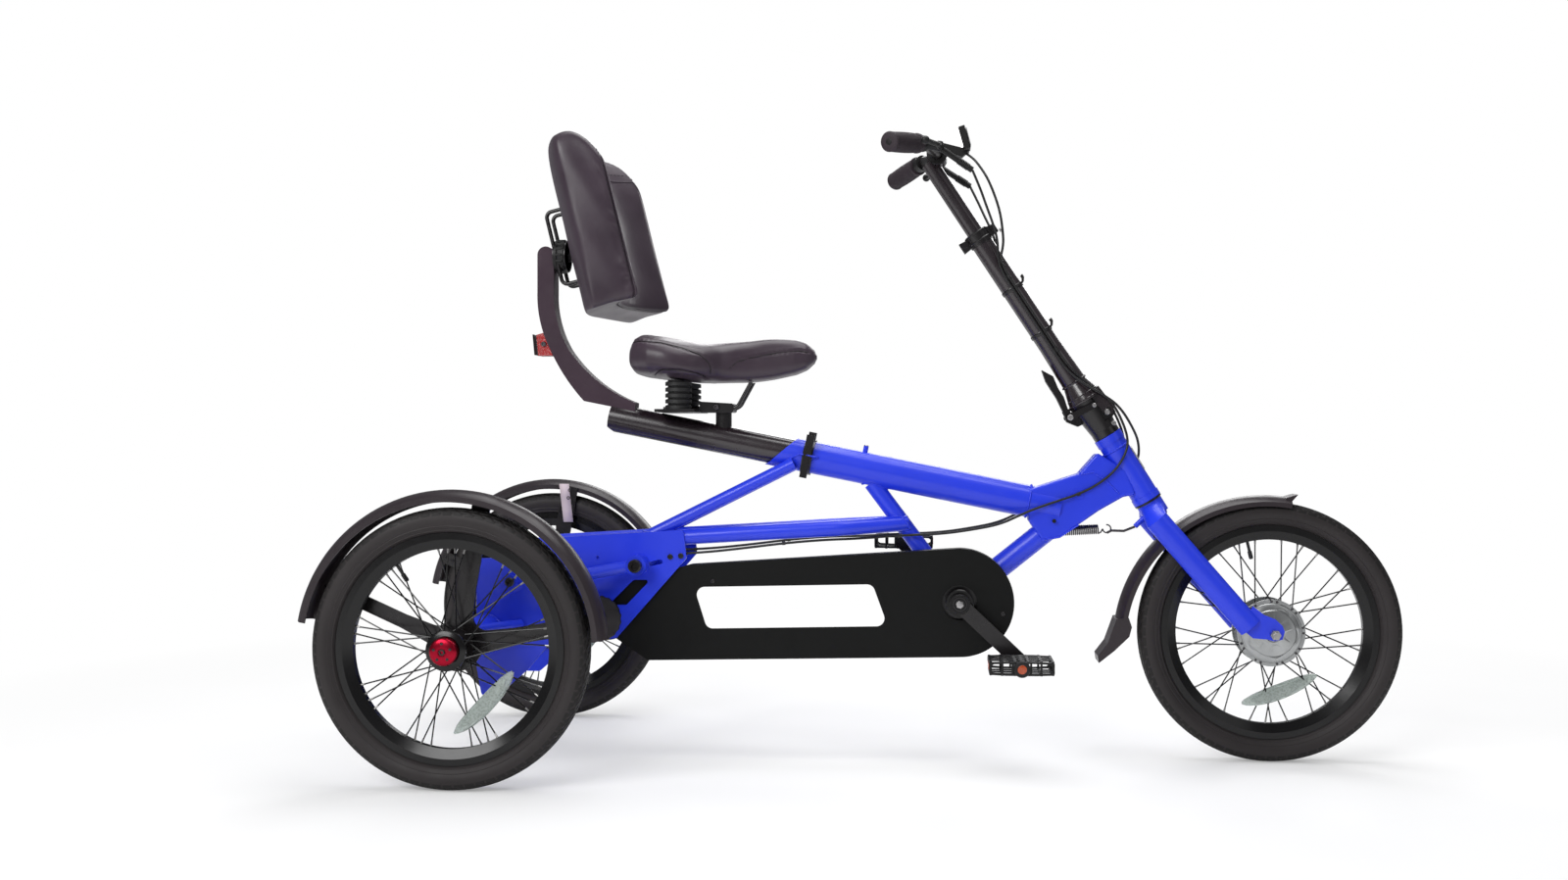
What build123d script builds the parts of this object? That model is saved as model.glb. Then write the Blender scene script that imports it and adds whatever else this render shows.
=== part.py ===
from build123d import *

# Semi-recumbent pedal tricycle: two wheels behind, one steered wheel in front.
# Millimetres. X forward, Y to the rider's left, Z up from the ground.
# Places along X are measured from the rear axle; save() then moves every piece back by MIDDLE_X,
# so that the origin lies on the ground under the middle of the whole tricycle.

import os
from math import atan2, cos, degrees, hypot, pi, radians, sin, tan

os.makedirs("parts", exist_ok=True)

# Driving dimensions
WHEELBASE = 1520
MIDDLE_X = WHEELBASE / 2 - 14
HALF_TRACK = 345
TYRE_R = 254
TYRE_HALF_W = 26
BEAD_SEAT_R = TYRE_R - 51
RIM_INNER_R = BEAD_SEAT_R - 23
SPOKE_COUNT = 36
SPOKE_R = 1.1

HEAD_LOW_X = 1286
HEAD_LOW_Z = 511
HEAD_TILT = 31.6
HEAD_LENGTH = 149
STEERER_R = 14.2
RUNNING_FIT = 0.05

MAIN_X = 644
MAIN_Z = 589.5
MAIN_SLOPE = 11.3
MAIN_R = 32
MAIN_BORE = 28.5
SLIDER_R = MAIN_BORE - RUNNING_FIT

BB_X = 916
BB_Z = 311
BB_SHELL_R = 22
CRANK_LENGTH = 155
CRANK_ANGLE = -43.4
PEDAL_PIN_R = 7
CHAIN_Y = -45
SECOND_Y = -134
CHAIN_PITCH = 12.7
RING_TEETH = 44
COG_TEETH = 20
ROLLER_R = 4
LINK_HALF_H = 4.6
LINK_OUT = 3.4
LINK_T = 1.6
JACK_X = 218
JACK_Z = 283

MAST_X = 1166
MAST_Z = 707
MAST_TILT = 33.1
MAST_R = 21.5
UPPER_R = 16.5
COLLAR_AT = 387
PIN_OUT = 25.4
PIN_DOWN = 38

PIVOT_X = 284
PIVOT_Z = 383
STAY_Y = 47
STAY_R = 15.5
PLATE_Y = 60
PLATE_T = 6
CARRIER_R = 38
CARRIER_OUT = HALF_TRACK - 32.5
CARRIER_IN = 150
AXLE_R = 10
EYE_OUT = 103
RACK_HOLES_X = (150, 200)
RACK_HOLES_Z = 396
RACK_HOLE_R = 3.25
CABLE_R = 2.5
CABLE_LANE_Y = 26


def save(shape, name):
    export_step(Pos(-MIDDLE_X, 0, 0) * shape, f"parts/{name}.step")


def rod(p, q, r):
    p, q = Vector(*p), Vector(*q)
    standing = Cylinder(r, (q - p).length, align=(Align.CENTER, Align.CENTER, Align.MIN))
    return Plane(origin=p, z_dir=q - p) * standing


def tube(p, q, r, bore):
    return rod(p, q, r) - rod(p, q, bore)


def cross_rod(x, z, y_from, y_to, r):
    return rod((x, y_from, z), (x, y_to, z), r)


def slab(points, y_from, y_to, corner=0):
    """Side outline given as (x, z) points, extruded across the tricycle."""
    outline = Polyline(*[(x, z) for x, z in points], close=True)
    face = make_face(outline)
    if corner:
        face = fillet(face.vertices(), corner)
    return Pos(0, y_from, 0) * extrude(Plane.XZ * face, y_to - y_from, dir=(0, 1, 0))


def slot(p, q, r, y_from, y_to):
    """Round-ended bar or slot between two (x, z) points."""
    (x0, z0), (x1, z1) = p, q
    run = hypot(x1 - x0, z1 - z0)
    turn = degrees(atan2(z1 - z0, x1 - x0))
    face = Pos((x0 + x1) / 2, (z0 + z1) / 2) * Rot(0, 0, turn) * SlotCenterToCenter(run, 2 * r)
    return Pos(0, y_from, 0) * extrude(Plane.XZ * face, y_to - y_from, dir=(0, 1, 0))


def bent(points, radii, r):
    """Round bar along straight runs with tangent arcs."""
    path = FilletPolyline(*[Vector(*p) for p in points], radius=radii)
    start = Plane(origin=path @ 0, z_dir=path % 0)
    return sweep(start * Circle(r), path)


def ring_about_y(profile):
    """Solid of revolution about the Y axis from (y, radius) points."""
    return revolve(Plane.YZ * make_face(Polyline(*profile, close=True)), Axis.Y, 360)


def mirrored(shape):
    return mirror(shape, Plane.XZ)


def both(shape):
    return Compound([*shape.solids(), *mirrored(shape).solids()])


def layer(face, y_from, y_to):
    """Side face given in (x, z), extruded across the tricycle."""
    return Pos(0, y_from, 0) * extrude(Plane.XZ * face, y_to - y_from, dir=(0, 1, 0))


def shifted(points, dx, dz):
    return [(x + dx, z + dz) for x, z in points]


def head(along, out=0, y=0):
    """Point on the steering axis, measured up from the head tube's low end."""
    t = radians(HEAD_TILT)
    return (
        HEAD_LOW_X - along * sin(t) + out * cos(t),
        y,
        HEAD_LOW_Z + along * cos(t) + out * sin(t),
    )


def mast(along, out=0, y=0):
    """Point on the mast's axis, measured up from the parting face of its foot."""
    t = radians(MAST_TILT)
    return (MAST_X - along * sin(t) + out * cos(t), y, MAST_Z + along * cos(t) + out * sin(t))


def main(along, out=0, y=0):
    """Point on the main tube's axis, measured forward from MAIN_X."""
    t = radians(MAIN_SLOPE)
    return (MAIN_X + along * cos(t) + out * sin(t), y, MAIN_Z - along * sin(t) + out * cos(t))


# Main tube, with its rear end cut at a slant
REAR_CUT = [(594, 632), (539, 586), (480, 560), (420, 700), (560, 720)]
main_outer = rod(main(-115), main(480), MAIN_R)
main_hollow = rod(main(-200), main(440), MAIN_BORE)
main_end_cut = slab(REAR_CUT, -60, 60)

# Head tube with the boxed neck that joins it to the main and down tubes
NECK = [
    (1052, 531), (1150, 563), (1186, 604), (1240, 570), (1262, 522),
    (1236, 517), (1189, 490), (1112, 436), (1078, 430), (1052, 470),
]
head_outer = rod(head(0), head(HEAD_LENGTH), 27)
head_outer += rod(head(HEAD_LENGTH - 16), head(HEAD_LENGTH), 28.5)
head_outer += rod(head(0), head(12), 28.5)
neck = slab(NECK, -26, 26, 6)
NECK_CLIP = [(1140, 514), (1158, 514), (1158, 532), (1140, 532)]
neck = fillet(neck.faces().sort_by(Axis.Y)[0].edges() + neck.faces().sort_by(Axis.Y)[-1].edges(), 5)
head_tube = head_outer + neck
head_tube -= rod(head(-10), head(HEAD_LENGTH + 10), STEERER_R + RUNNING_FIT)
for side in (-1, 1):
    y0, y1 = sorted((side * 20, side * (31 - CABLE_R)))
    head_tube += slab(NECK_CLIP, y0, y1)
save(head_tube, "head_tube")

main_tube = main_outer - main_hollow - main_end_cut - head_outer - neck
STUD_AT = 80
main_tube += rod(main(STUD_AT, MAIN_R - 1.5), main(STUD_AT, MAIN_R + 12), 5)
save(main_tube, "main_tube")

# Down tube and the seat tube with the bottom bracket shell
DOWN_TOP = (1140, 0, 492)
bb_outer = cross_rod(BB_X, BB_Z, -36, 36, BB_SHELL_R)
bb_bore = cross_rod(BB_X, BB_Z, -40, 40, AXLE_R + RUNNING_FIT)
down_tube = rod((BB_X, 0, BB_Z), DOWN_TOP, 22.5) - rod((BB_X, 0, BB_Z), DOWN_TOP, 20)
down_tube -= bb_outer + neck + main_outer
down_tube = down_tube.solids().sort_by(SortBy.VOLUME)[-1]
SEAT_TUBE_TOP = (742, 0, 544)
seat_tube_outer = rod((BB_X, 0, BB_Z), SEAT_TUBE_TOP, 17)
seat_tube = bb_outer + seat_tube_outer - main_outer - bb_bore
down_tube -= seat_tube_outer
save(down_tube.solids().sort_by(SortBy.VOLUME)[-1], "down_tube")
save(seat_tube, "seat_tube")

# Two lower stays, which close together at the seat tube, and two upper stays
def stay_z(x):
    return 448 + (x - 565) * tan(radians(3.5))


LOWER_PATH = [(70, -STAY_Y, stay_z(70)), (690, -STAY_Y, stay_z(690)), (812, -8, stay_z(812))]
lower_stay = bent(LOWER_PATH, [120], STAY_R)
lower_stays = lower_stay + mirrored(lower_stay) - seat_tube_outer
save(lower_stays, "lower_stays")
UPPER_TOP = (588, -30, 582)
UPPER_LOW = (305, -STAY_Y, 441)
upper_stay = rod(UPPER_LOW, UPPER_TOP, 12.5) - main_outer - lower_stay
upper_stay = upper_stay.solids().sort_by(SortBy.VOLUME)[-1]
upper_stay -= main_hollow
save(both(upper_stay), "upper_stays")

# Rear plates with their window, slot and holes, joined by a pivot tube
REAR_PLATE = [
    (70, 402), (70, 432), (372, 451), (378, 395), (238, 236), (210, 232),
    (188, 262), (170, 345), (120, 392),
]
PLATE_WINDOW = [(272, 352), (306, 352), (258, 302), (222, 302)]
rear_plate = slab(REAR_PLATE, -PLATE_Y - PLATE_T, -PLATE_Y, 6)
rear_plate -= slab(PLATE_WINDOW, -80, -50, 4)
rear_plate -= slot((308, 384), (326, 388), 4.5, -80, -50)
rear_plate -= lower_stay
pivot_tube = cross_rod(PIVOT_X, PIVOT_Z, -PLATE_Y, PLATE_Y, 12)
JACK_R = 8
ANCHOR = [(154, 388), (160, 388), (160, 406), (154, 406)]
cable_anchor = slab(ANCHOR, -PLATE_Y, PLATE_Y)
rear_plates = rear_plate + mirrored(rear_plate) + pivot_tube + cable_anchor
rear_plates -= cross_rod(JACK_X, JACK_Z, -80, 80, JACK_R)
rear_plates -= cross_rod(PIVOT_X, PIVOT_Z, -80, 80, 8)
for x in RACK_HOLES_X:
    rear_plates -= cross_rod(x, RACK_HOLES_Z, -80, 80, RACK_HOLE_R)
save(rear_plates, "rear_plates")

# Swing arms, each with the carrier that holds a rear axle
SWING_PLATE = [
    (-18, -64), (-18, 146), (40, 146), (128, 48), (128, -15), (84, -68), (24, -120), (-8, -120),
]


def swing_arm():
    carrier = cross_rod(0, TYRE_R, -CARRIER_OUT, -CARRIER_IN, CARRIER_R)
    carrier -= cross_rod(0, TYRE_R, -CARRIER_OUT + 14, -CARRIER_IN - 14, CARRIER_R - 5)
    outer, inner = -CARRIER_OUT, -CARRIER_OUT + 30
    carrier += Pos(0, 0, TYRE_R) * ring_about_y([(outer, 30), (outer, 42), (inner, 42), (inner, 30)])
    plate = slab(shifted(SWING_PLATE, 0, TYRE_R), -CARRIER_IN, -CARRIER_IN + 6, 8)
    eye = cross_rod(PIVOT_X, PIVOT_Z, -EYE_OUT, -PLATE_Y - PLATE_T, 20)
    link = rod((PIVOT_X, -84, PIVOT_Z), (40, -146, TYRE_R + 86), 12)
    boss = cross_rod(50, TYRE_R + 101, -CARRIER_IN - 8, -CARRIER_IN + 6, 14)
    rib = rod((70, -CARRIER_IN - 4, TYRE_R + 20), (20, -CARRIER_OUT + 60, TYRE_R + 22), 9)
    arm = carrier + plate + eye + link + boss + rib
    arm -= cross_rod(0, TYRE_R, -CARRIER_OUT - 5, -100, AXLE_R + RUNNING_FIT)
    arm -= cross_rod(0, TYRE_R, -CARRIER_OUT + 14, -CARRIER_IN - 14, CARRIER_R - 5)
    arm -= cross_rod(PIVOT_X, PIVOT_Z, -110, -60, 8)
    arm -= cross_rod(PIVOT_X, PIVOT_Z, -EYE_OUT - 30, -EYE_OUT, 20)
    return arm


swing = swing_arm()
save(swing, "swing_arm_right")
save(mirrored(swing), "swing_arm_left")
pivot_bolt = cross_rod(PIVOT_X, PIVOT_Z, -EYE_OUT, EYE_OUT, 8)
for side in (-1, 1):
    pivot_bolt += cross_rod(PIVOT_X, PIVOT_Z, side * EYE_OUT, side * (EYE_OUT + 6), 13)
save(pivot_bolt, "pivot_bolt")


def chain_radius(teeth):
    return CHAIN_PITCH / (2 * sin(pi / teeth))


def sprocket(teeth, x, z, y, thick):
    """Toothed plate with round valleys between pointed teeth."""
    pitch_r = chain_radius(teeth)
    blank = cross_rod(x, z, y - thick / 2, y + thick / 2, pitch_r + 3)
    for i in range(teeth):
        a = 2 * pi * (i + 0.5) / teeth
        blank -= cross_rod(x + pitch_r * cos(a), z + pitch_r * sin(a), y - thick, y + thick, ROLLER_R)
    return blank


def chain_loop(big, small, small_teeth, y):
    """Chain round two wheels given as (x, z, radius): two link bands joined by pins.

    Rollers sit in the small wheel's valleys. The big wheel turns inside the loop, so the pins
    stop short of its teeth.
    """
    (x0, z0, r0), (x1, z1, r1) = big, small
    gap = hypot(x1 - x0, z1 - z0)
    lean = atan2(z1 - z0, x1 - x0)
    spread = pi / 2 - atan2(r0 - r1, gap)
    ends = {}

    def loop_face(grow):
        points = {}
        for name, turn in (("up", -spread), ("low", spread)):
            points[name, 0] = (x0 + (r0 + grow) * cos(lean + turn), z0 + (r0 + grow) * sin(lean + turn))
            points[name, 1] = (x1 + (r1 + grow) * cos(lean + turn), z1 + (r1 + grow) * sin(lean + turn))
        far = (x0 - (r0 + grow) * cos(lean), z0 - (r0 + grow) * sin(lean))
        near = (x1 + (r1 + grow) * cos(lean), z1 + (r1 + grow) * sin(lean))
        ends.update(points)
        return make_face([
            Line(points["up", 0], points["up", 1]), ThreePointArc(points["up", 1], near, points["low", 1]),
            Line(points["low", 1], points["low", 0]), ThreePointArc(points["low", 0], far, points["up", 0]),
        ])

    band = loop_face(LINK_HALF_H) - loop_face(-LINK_HALF_H)
    pieces = []
    for side in (-1, 1):
        y_low = y + side * LINK_OUT - LINK_T / 2
        pieces.append(Pos(0, y_low, 0) * extrude(Plane.XZ * band, LINK_T, dir=(0, 1, 0)))
    loop_face(0)
    reach = LINK_OUT - LINK_T / 2
    for i in range(small_teeth):
        a = 2 * pi * (i + 0.5) / small_teeth
        if cos(a - lean) > cos(spread) + 0.05:
            pieces.append(cross_rod(x1 + r1 * cos(a), z1 + r1 * sin(a), y - reach, y + reach, ROLLER_R))
    pin_section = Plane.XZ * RegularPolygon(3, 6)
    for name in ("up", "low"):
        (xa, za), (xb, zb) = ends[name, 1], ends[name, 0]
        run = hypot(xb - xa, zb - za)
        for i in range(2, int(run / CHAIN_PITCH) - 1):
            t = i * CHAIN_PITCH / run
            pin = extrude(pin_section, 2 * reach, dir=(0, 1, 0))
            pieces.append(Pos(xa + (xb - xa) * t, y - reach, za + (zb - za) * t) * pin)
    return pieces[0].fuse(*pieces[1:])


RING_R = chain_radius(RING_TEETH)
COG_R = chain_radius(COG_TEETH)
first_chain = chain_loop((BB_X, BB_Z, RING_R), (JACK_X, JACK_Z, COG_R), COG_TEETH, CHAIN_Y)
second_chain = chain_loop((0, TYRE_R, COG_R), (JACK_X, JACK_Z, COG_R), COG_TEETH, SECOND_Y)
save(Compound([first_chain, second_chain]), "chain")

# Jackshaft with its cog, carried in the rear plates
jackshaft = cross_rod(JACK_X, JACK_Z, SECOND_Y - 8, 74, JACK_R)
jackshaft += sprocket(COG_TEETH, JACK_X, JACK_Z, SECOND_Y, 2.4)
jackshaft += cross_rod(JACK_X, JACK_Z, SECOND_Y - 6, SECOND_Y + 10, 14)
jackshaft += sprocket(COG_TEETH, JACK_X, JACK_Z, CHAIN_Y, 2.4)
jackshaft += cross_rod(JACK_X, JACK_Z, CHAIN_Y - 10, CHAIN_Y + 10, 14)
save(jackshaft, "jackshaft")

# Chain guard: a plate with a window and a turned-in edge
GUARD_FRONT_R = 106
GUARD_REAR_R = 52
GUARD_Y = -PLATE_Y
GUARD_T = 2
GUARD_DEPTH = 30
GUARD_WINDOW = [(392, 338), (746, 346), (776, 264), (418, 256)]


def guard_outline(shrink):
    a = atan2(BB_Z - JACK_Z, BB_X - JACK_X)
    rf, rr = GUARD_FRONT_R - shrink, GUARD_REAR_R - shrink
    up_f, low_f = (BB_X, BB_Z + rf), (BB_X, BB_Z - rf)
    up_m, low_m = (385, 382 - shrink), (300, 192 + shrink)
    back_up = (JACK_X - rr * sin(a), JACK_Z + rr * cos(a))
    back_low = (JACK_X + 0.35 * rr, JACK_Z - rr * 0.93)
    back = (JACK_X - rr, JACK_Z)
    edges = [
        ThreePointArc(up_f, (BB_X + rf, BB_Z), low_f), Line(low_f, low_m), Line(low_m, back_low),
        ThreePointArc(back_low, back, back_up), Line(back_up, up_m), Line(up_m, up_f),
    ]
    return make_face(edges)


chain_guard = layer(guard_outline(0), GUARD_Y, GUARD_Y + GUARD_DEPTH)
chain_guard -= layer(guard_outline(GUARD_T), GUARD_Y + GUARD_T, GUARD_Y + GUARD_DEPTH + 1)
chain_guard -= slab(GUARD_WINDOW, GUARD_Y - 5, GUARD_Y + 10, 16)
chain_guard -= cross_rod(BB_X, BB_Z, GUARD_Y - 5, GUARD_Y + 10, 34)
chain_guard -= cross_rod(JACK_X, JACK_Z, GUARD_Y - 5, GUARD_Y + 10, JACK_R)
save(chain_guard, "chain_guard")

# Seat clamp round the rear end of the main tube
CLAMP_AT = -30
seat_clamp = rod(main(CLAMP_AT - 10), main(CLAMP_AT + 10), MAIN_R + 4)
seat_clamp += rod(main(CLAMP_AT, MAIN_R), main(CLAMP_AT, MAIN_R + 18), 8)
seat_clamp += slab(
    [main(CLAMP_AT - 8, 44)[::2], main(CLAMP_AT + 8, 44)[::2], main(CLAMP_AT + 7, -42)[::2],
     main(CLAMP_AT - 7, -42)[::2]], -MAIN_R - 10, -MAIN_R - 3,
)
seat_clamp -= main_outer
save(seat_clamp, "seat_clamp")

# Rear fenders and the three-armed brackets that carry them
FENDER_R = TYRE_R + 32
FENDER_HALF_W = 28.5
FENDER_T = 2.5
FENDER_START = 4
FENDER_SWEEP = 166
BRACKET_Y = CARRIER_OUT
BRACKET_T = 4
BRACKET_FILLET = 26


def fender_section(centre_r, half_w, thick, skirt):
    """Arched strip with turned-down sides, as a face of (y, radius)."""
    rise = 12
    shoulder = centre_r - rise
    outer = [
        Line((-half_w, shoulder - skirt), (-half_w, shoulder)),
        ThreePointArc((-half_w, shoulder), (0, centre_r), (half_w, shoulder)),
        Line((half_w, shoulder), (half_w, shoulder - skirt)),
        Line((half_w, shoulder - skirt), (half_w - thick, shoulder - skirt)),
        Line((half_w - thick, shoulder - skirt), (half_w - thick, shoulder - 1)),
        ThreePointArc((half_w - thick, shoulder - 1), (0, centre_r - thick), (thick - half_w, shoulder - 1)),
        Line((thick - half_w, shoulder - 1), (thick - half_w, shoulder - skirt)),
        Line((thick - half_w, shoulder - skirt), (-half_w, shoulder - skirt)),
    ]
    return make_face(outer)


def arc_strip(section, x, y, z, start, sweep_deg):
    """Turns a (y, radius) section about a cross axis; angles run up from forward."""
    # About +Y a positive turn carries +Z toward +X, so the start is measured from straight up.
    face = Plane.YZ * section
    strip = revolve(face, Axis.Y, sweep_deg)
    return Pos(x, y, z) * Rot(0, 90 - start - sweep_deg, 0) * strip


rear_section = fender_section(FENDER_R, FENDER_HALF_W, FENDER_T, 10)
rear_fender = arc_strip(rear_section, 0, -HALF_TRACK, TYRE_R, FENDER_START, FENDER_SWEEP)
save(rear_fender, "rear_fender_right")
save(mirrored(rear_fender), "rear_fender_left")

ARM_ENDS = [
    # (angle up from forward, width at the hub, width at the end)
    (80, 46, 34),
    (156, 42, 26),
    (10, 46, 30),
]


def fender_bracket():
    plate = Pos(0, TYRE_R) * Circle(46)
    reach = FENDER_R - 13
    for angle, wide, narrow in ARM_ENDS:
        a = radians(angle)
        along, across = Vector(cos(a), sin(a)), Vector(-sin(a), cos(a))
        hub = Vector(0, TYRE_R)
        corners = [
            hub + across * wide / 2, hub + along * 110 + across * narrow / 2,
            hub + along * reach + across * narrow / 2, hub + along * reach - across * narrow / 2,
            hub + along * 110 - across * narrow / 2, hub - across * wide / 2,
        ]
        plate += make_face(Polyline(*[(c.X, c.Y) for c in corners], close=True))
    plate = offset(offset(plate, BRACKET_FILLET), -BRACKET_FILLET)
    plate -= Pos(0, TYRE_R) * Circle(16)
    return layer(plate, -BRACKET_Y - BRACKET_T, -BRACKET_Y)


bracket = fender_bracket()
save(bracket, "fender_bracket_right")
save(mirrored(bracket), "fender_bracket_left")

# Seat slider tube, curved upright, clamp and post
slider = rod(main(-440), main(120), SLIDER_R) - rod(main(-500), main(140), SLIDER_R - 3)
SLIDER_CUT = [(219, 646), (100, 760), (60, 560), (150, 560)]
slider -= slab(SLIDER_CUT, -60, 60)
save(slider, "seat_tube_slider")

UPRIGHT_HALF_W = 19
upright_face = make_face([
    Line((65, 1004), (65, 930)), ThreePointArc((65, 930), (71, 868), (92, 811)),
    ThreePointArc((92, 811), (122, 757), (170, 698)), Line((170, 698), (219, 646)),
    Line((219, 646), (262, 650)), Line((262, 650), (266, 704)),
    ThreePointArc((266, 704), (184, 752), (130, 811)), ThreePointArc((130, 811), (106, 868), (99, 930)),
    Line((99, 930), (99, 1004)), ThreePointArc((99, 1004), (82, 1021), (65, 1004)),
])
upright = Pos(0, -UPRIGHT_HALF_W, 0) * extrude(Plane.XZ * upright_face, 2 * UPRIGHT_HALF_W, dir=(0, 1, 0))
upright -= rod(main(-500), main(140), SLIDER_R)
upright = upright.solids().sort_by(SortBy.VOLUME)[-1]
save(upright, "seat_upright")

POST_X = 443
post_foot = main((POST_X - MAIN_X) / cos(radians(MAIN_SLOPE)), SLIDER_R)
saddle_post = rod((POST_X, 0, post_foot[2] - 6), (POST_X, 0, 690), 16)
saddle_post -= rod(main(-440), main(120), SLIDER_R)
saddle_post = saddle_post.solids().sort_by(Axis.Z)[-1]
saddle_post += slab([(398, 684), (466, 684), (466, 702), (398, 706)], -27, 27, 4)

# Saddle, its rails and its two rubber springs
SADDLE_SIDE = [
    (276, 757), (266, 790), (270, 828), (288, 842), (345, 833), (410, 821), (500, 826), (565, 832), (608, 824),
    (631, 798), (612, 770), (560, 753), (505, 745), (440, 743), (380, 745), (320, 752),
]
SADDLE_PLAN = [(267, 0), (276, -96), (330, -132), (400, -112), (450, -66), (520, -42), (590, -36), (632, 0)]
saddle_side = layer(make_face(Spline(*SADDLE_SIDE, periodic=True)), -140, 140)
plan_points = SADDLE_PLAN + [(x, -y) for x, y in SADDLE_PLAN[-2:0:-1]]
plan_face = make_face(Spline(*plan_points, periodic=True))
saddle = saddle_side & (Pos(0, 0, 700) * extrude(plan_face, 200))
save(saddle, "saddle")

RAIL_Y = 22
RAIL_Z = 692
RAIL_SIDE = [(324, RAIL_Z), (472, RAIL_Z), (505, 752)]
SPRING_X = 361
SPRING_Y = 58
springs = []
for side in (-1, 1):
    profile = [(0, 690)]
    for i in range(5):
        z = 690 + i * 11.6
        profile += [(26, z), (26, z + 7), (21, z + 9), (21, z + 11.6)]
    profile += [(0, 748)]
    stack = revolve(Plane.XZ * make_face(Polyline(*profile, close=True)), Axis.Z, 360)
    springs += (Pos(SPRING_X, side * SPRING_Y, 0) * stack - saddle).solids()
save(Compound(springs), "saddle_springs")
saddle_rails = slab([(318, 684), (397, 684), (397, 690), (318, 690)], -86, 86)
for side in (-1, 1):
    saddle_rails += bent([(x, side * RAIL_Y, z) for x, z in RAIL_SIDE], [20], 3.5)
saddle_rails -= saddle
save(saddle_rails, "saddle_rails")
saddle_post -= saddle_rails
save(saddle_post, "saddle_post")

# Backrest: a cushion curved round the rider and leaning back, on two wire loops
BACK_LEAN = 13.8
BACK_R = 368
BACK_T = 75
BACK_HALF_ANGLE = 29.3
BACK_HEIGHT = 345
BACK_LOW_X = 171
BACK_LOW_Z = 874
BACK_CROWN = 70
lean = radians(BACK_LEAN)
back_plane = Plane(
    origin=(BACK_LOW_X, 0, BACK_LOW_Z), x_dir=(cos(lean), 0, sin(lean)), z_dir=(-sin(lean), 0, cos(lean)),
)
a = radians(BACK_HALF_ANGLE)


def arc_point(radius, angle):
    return (BACK_R - radius * cos(angle), radius * sin(angle))


inner_r = BACK_R - BACK_T
cushion_face = make_face([
    ThreePointArc(arc_point(BACK_R, -a), (0, 0), arc_point(BACK_R, a)),
    Line(arc_point(BACK_R, a), arc_point(inner_r, a)),
    ThreePointArc(arc_point(inner_r, a), (BACK_T, 0), arc_point(inner_r, -a)),
    Line(arc_point(inner_r, -a), arc_point(BACK_R, -a)),
])
cushion_face = fillet(cushion_face.vertices(), 22)
backrest = back_plane * extrude(cushion_face, BACK_HEIGHT)
side_face = make_face(Polyline((-2, -5), (130, -5), (130, BACK_HEIGHT), (-2, BACK_HEIGHT), close=True))
side_face = fillet(side_face.vertices().sort_by(lambda v: -v.X - v.Y)[0], BACK_CROWN)
side_face = fillet(side_face.vertices().sort_by(lambda v: v.X - v.Y)[0], BACK_CROWN / 2)
side_plane = Plane(origin=back_plane.origin - 200 * Vector(0, 1, 0), x_dir=back_plane.x_dir, z_dir=(0, -1, 0))
side_block = extrude(side_plane * side_face, 400, dir=(0, 1, 0))
end_edges = backrest.edges().filter_by(lambda e: abs(e.tangent_at(0.5).dot(back_plane.z_dir)) < 0.1)
backrest = fillet(end_edges, 16)
backrest = backrest & side_block
save(backrest, "backrest")

LOOP_Y = 24
LOOP_R = 4
LOOP_LOW = 78
LOOP_HIGH = 228
LOOP_OUT = -34


def back_point(out, y, up):
    p = back_plane.from_local_coords((out, y, up))
    return (p.X, p.Y, p.Z)


loops = []
for side in (-1, 1):
    path = [back_point(3, side * LOOP_Y, LOOP_HIGH), back_point(LOOP_OUT, side * LOOP_Y, LOOP_HIGH),
            back_point(LOOP_OUT, side * LOOP_Y, LOOP_LOW), back_point(3, side * LOOP_Y, LOOP_LOW)]
    loops.append(bent(path, [12, 12], LOOP_R) - backrest)
DISC_Z = 1002
disc = rod((99, 0, DISC_Z), (124, 0, DISC_Z), 32)
for wire in loops:
    disc -= wire
knob = rod((124, 0, DISC_Z), (138, 0, DISC_Z), 9)
save(Compound([s for w in loops for s in w.solids()] + (disc + knob).solids()), "backrest_bracket")

reflector = slab([(66, 800), (62, 842), (76, 846), (96, 800)], -17, 17) - upright
reflector = reflector.solids().sort_by(Axis.X)[0]
save(reflector, "rear_reflector")


# Fork: crown with the steerer, two kicked-forward legs with dropouts
LEG_Y = 52
LEG_HALF_W = 15
LEG_HALF_D = 23
LEG_TOP = (1296, 474)
LEG_LOW = (WHEELBASE - 46, TYRE_R + 14)
DROPOUT = [
    # (x, z) from the axle
    (-50, 36), (-41, 54), (-20, 38), (1, 30), (14.5, 17), (18.5, 6), (14.5, -9), (-1, -12.5), (-14.5, -9),
    (-41, -7), (-58, 7),
]
CROWN_LOW = -34
steerer = rod(head(CROWN_LOW), head(HEAD_LENGTH + 30), STEERER_R)
crown = rod(head(CROWN_LOW), head(-1), 26)
SPRING_LUG = (1262, 0, 458)
crown += rod(head(CROWN_LOW + 8, -20), SPRING_LUG, 5)
legs = []
for side in (-1, 1):
    top = Vector(LEG_TOP[0], side * LEG_Y, LEG_TOP[1])
    low = Vector(LEG_LOW[0], side * LEG_Y, LEG_LOW[1])
    across = Plane(origin=top, x_dir=(0, 1, 0), z_dir=low - top)
    leg = extrude(across * Ellipse(LEG_HALF_W, LEG_HALF_D), (low - top).length)
    root = Vector(*head(CROWN_LOW + 18, 0, side * 6))
    shoulder = Plane(origin=root, x_dir=(0, 1, 0), z_dir=top - root)
    leg += loft([shoulder * Ellipse(LEG_HALF_W + 3, LEG_HALF_D + 1), across * Ellipse(LEG_HALF_W, LEG_HALF_D)])
    plate_in = side * LEG_Y - 3
    leg += slab(shifted(DROPOUT, WHEELBASE, TYRE_R), plate_in, plate_in + 6)
    leg -= cross_rod(WHEELBASE, TYRE_R, -80, 80, 6)
    leg -= crown + steerer
    legs.append(leg.solids().sort_by(SortBy.VOLUME)[-1])
crown = crown + steerer
for leg in legs:
    crown -= leg
crown = crown.solids().sort_by(SortBy.VOLUME)[-1]
save(crown, "fork_crown")
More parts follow.
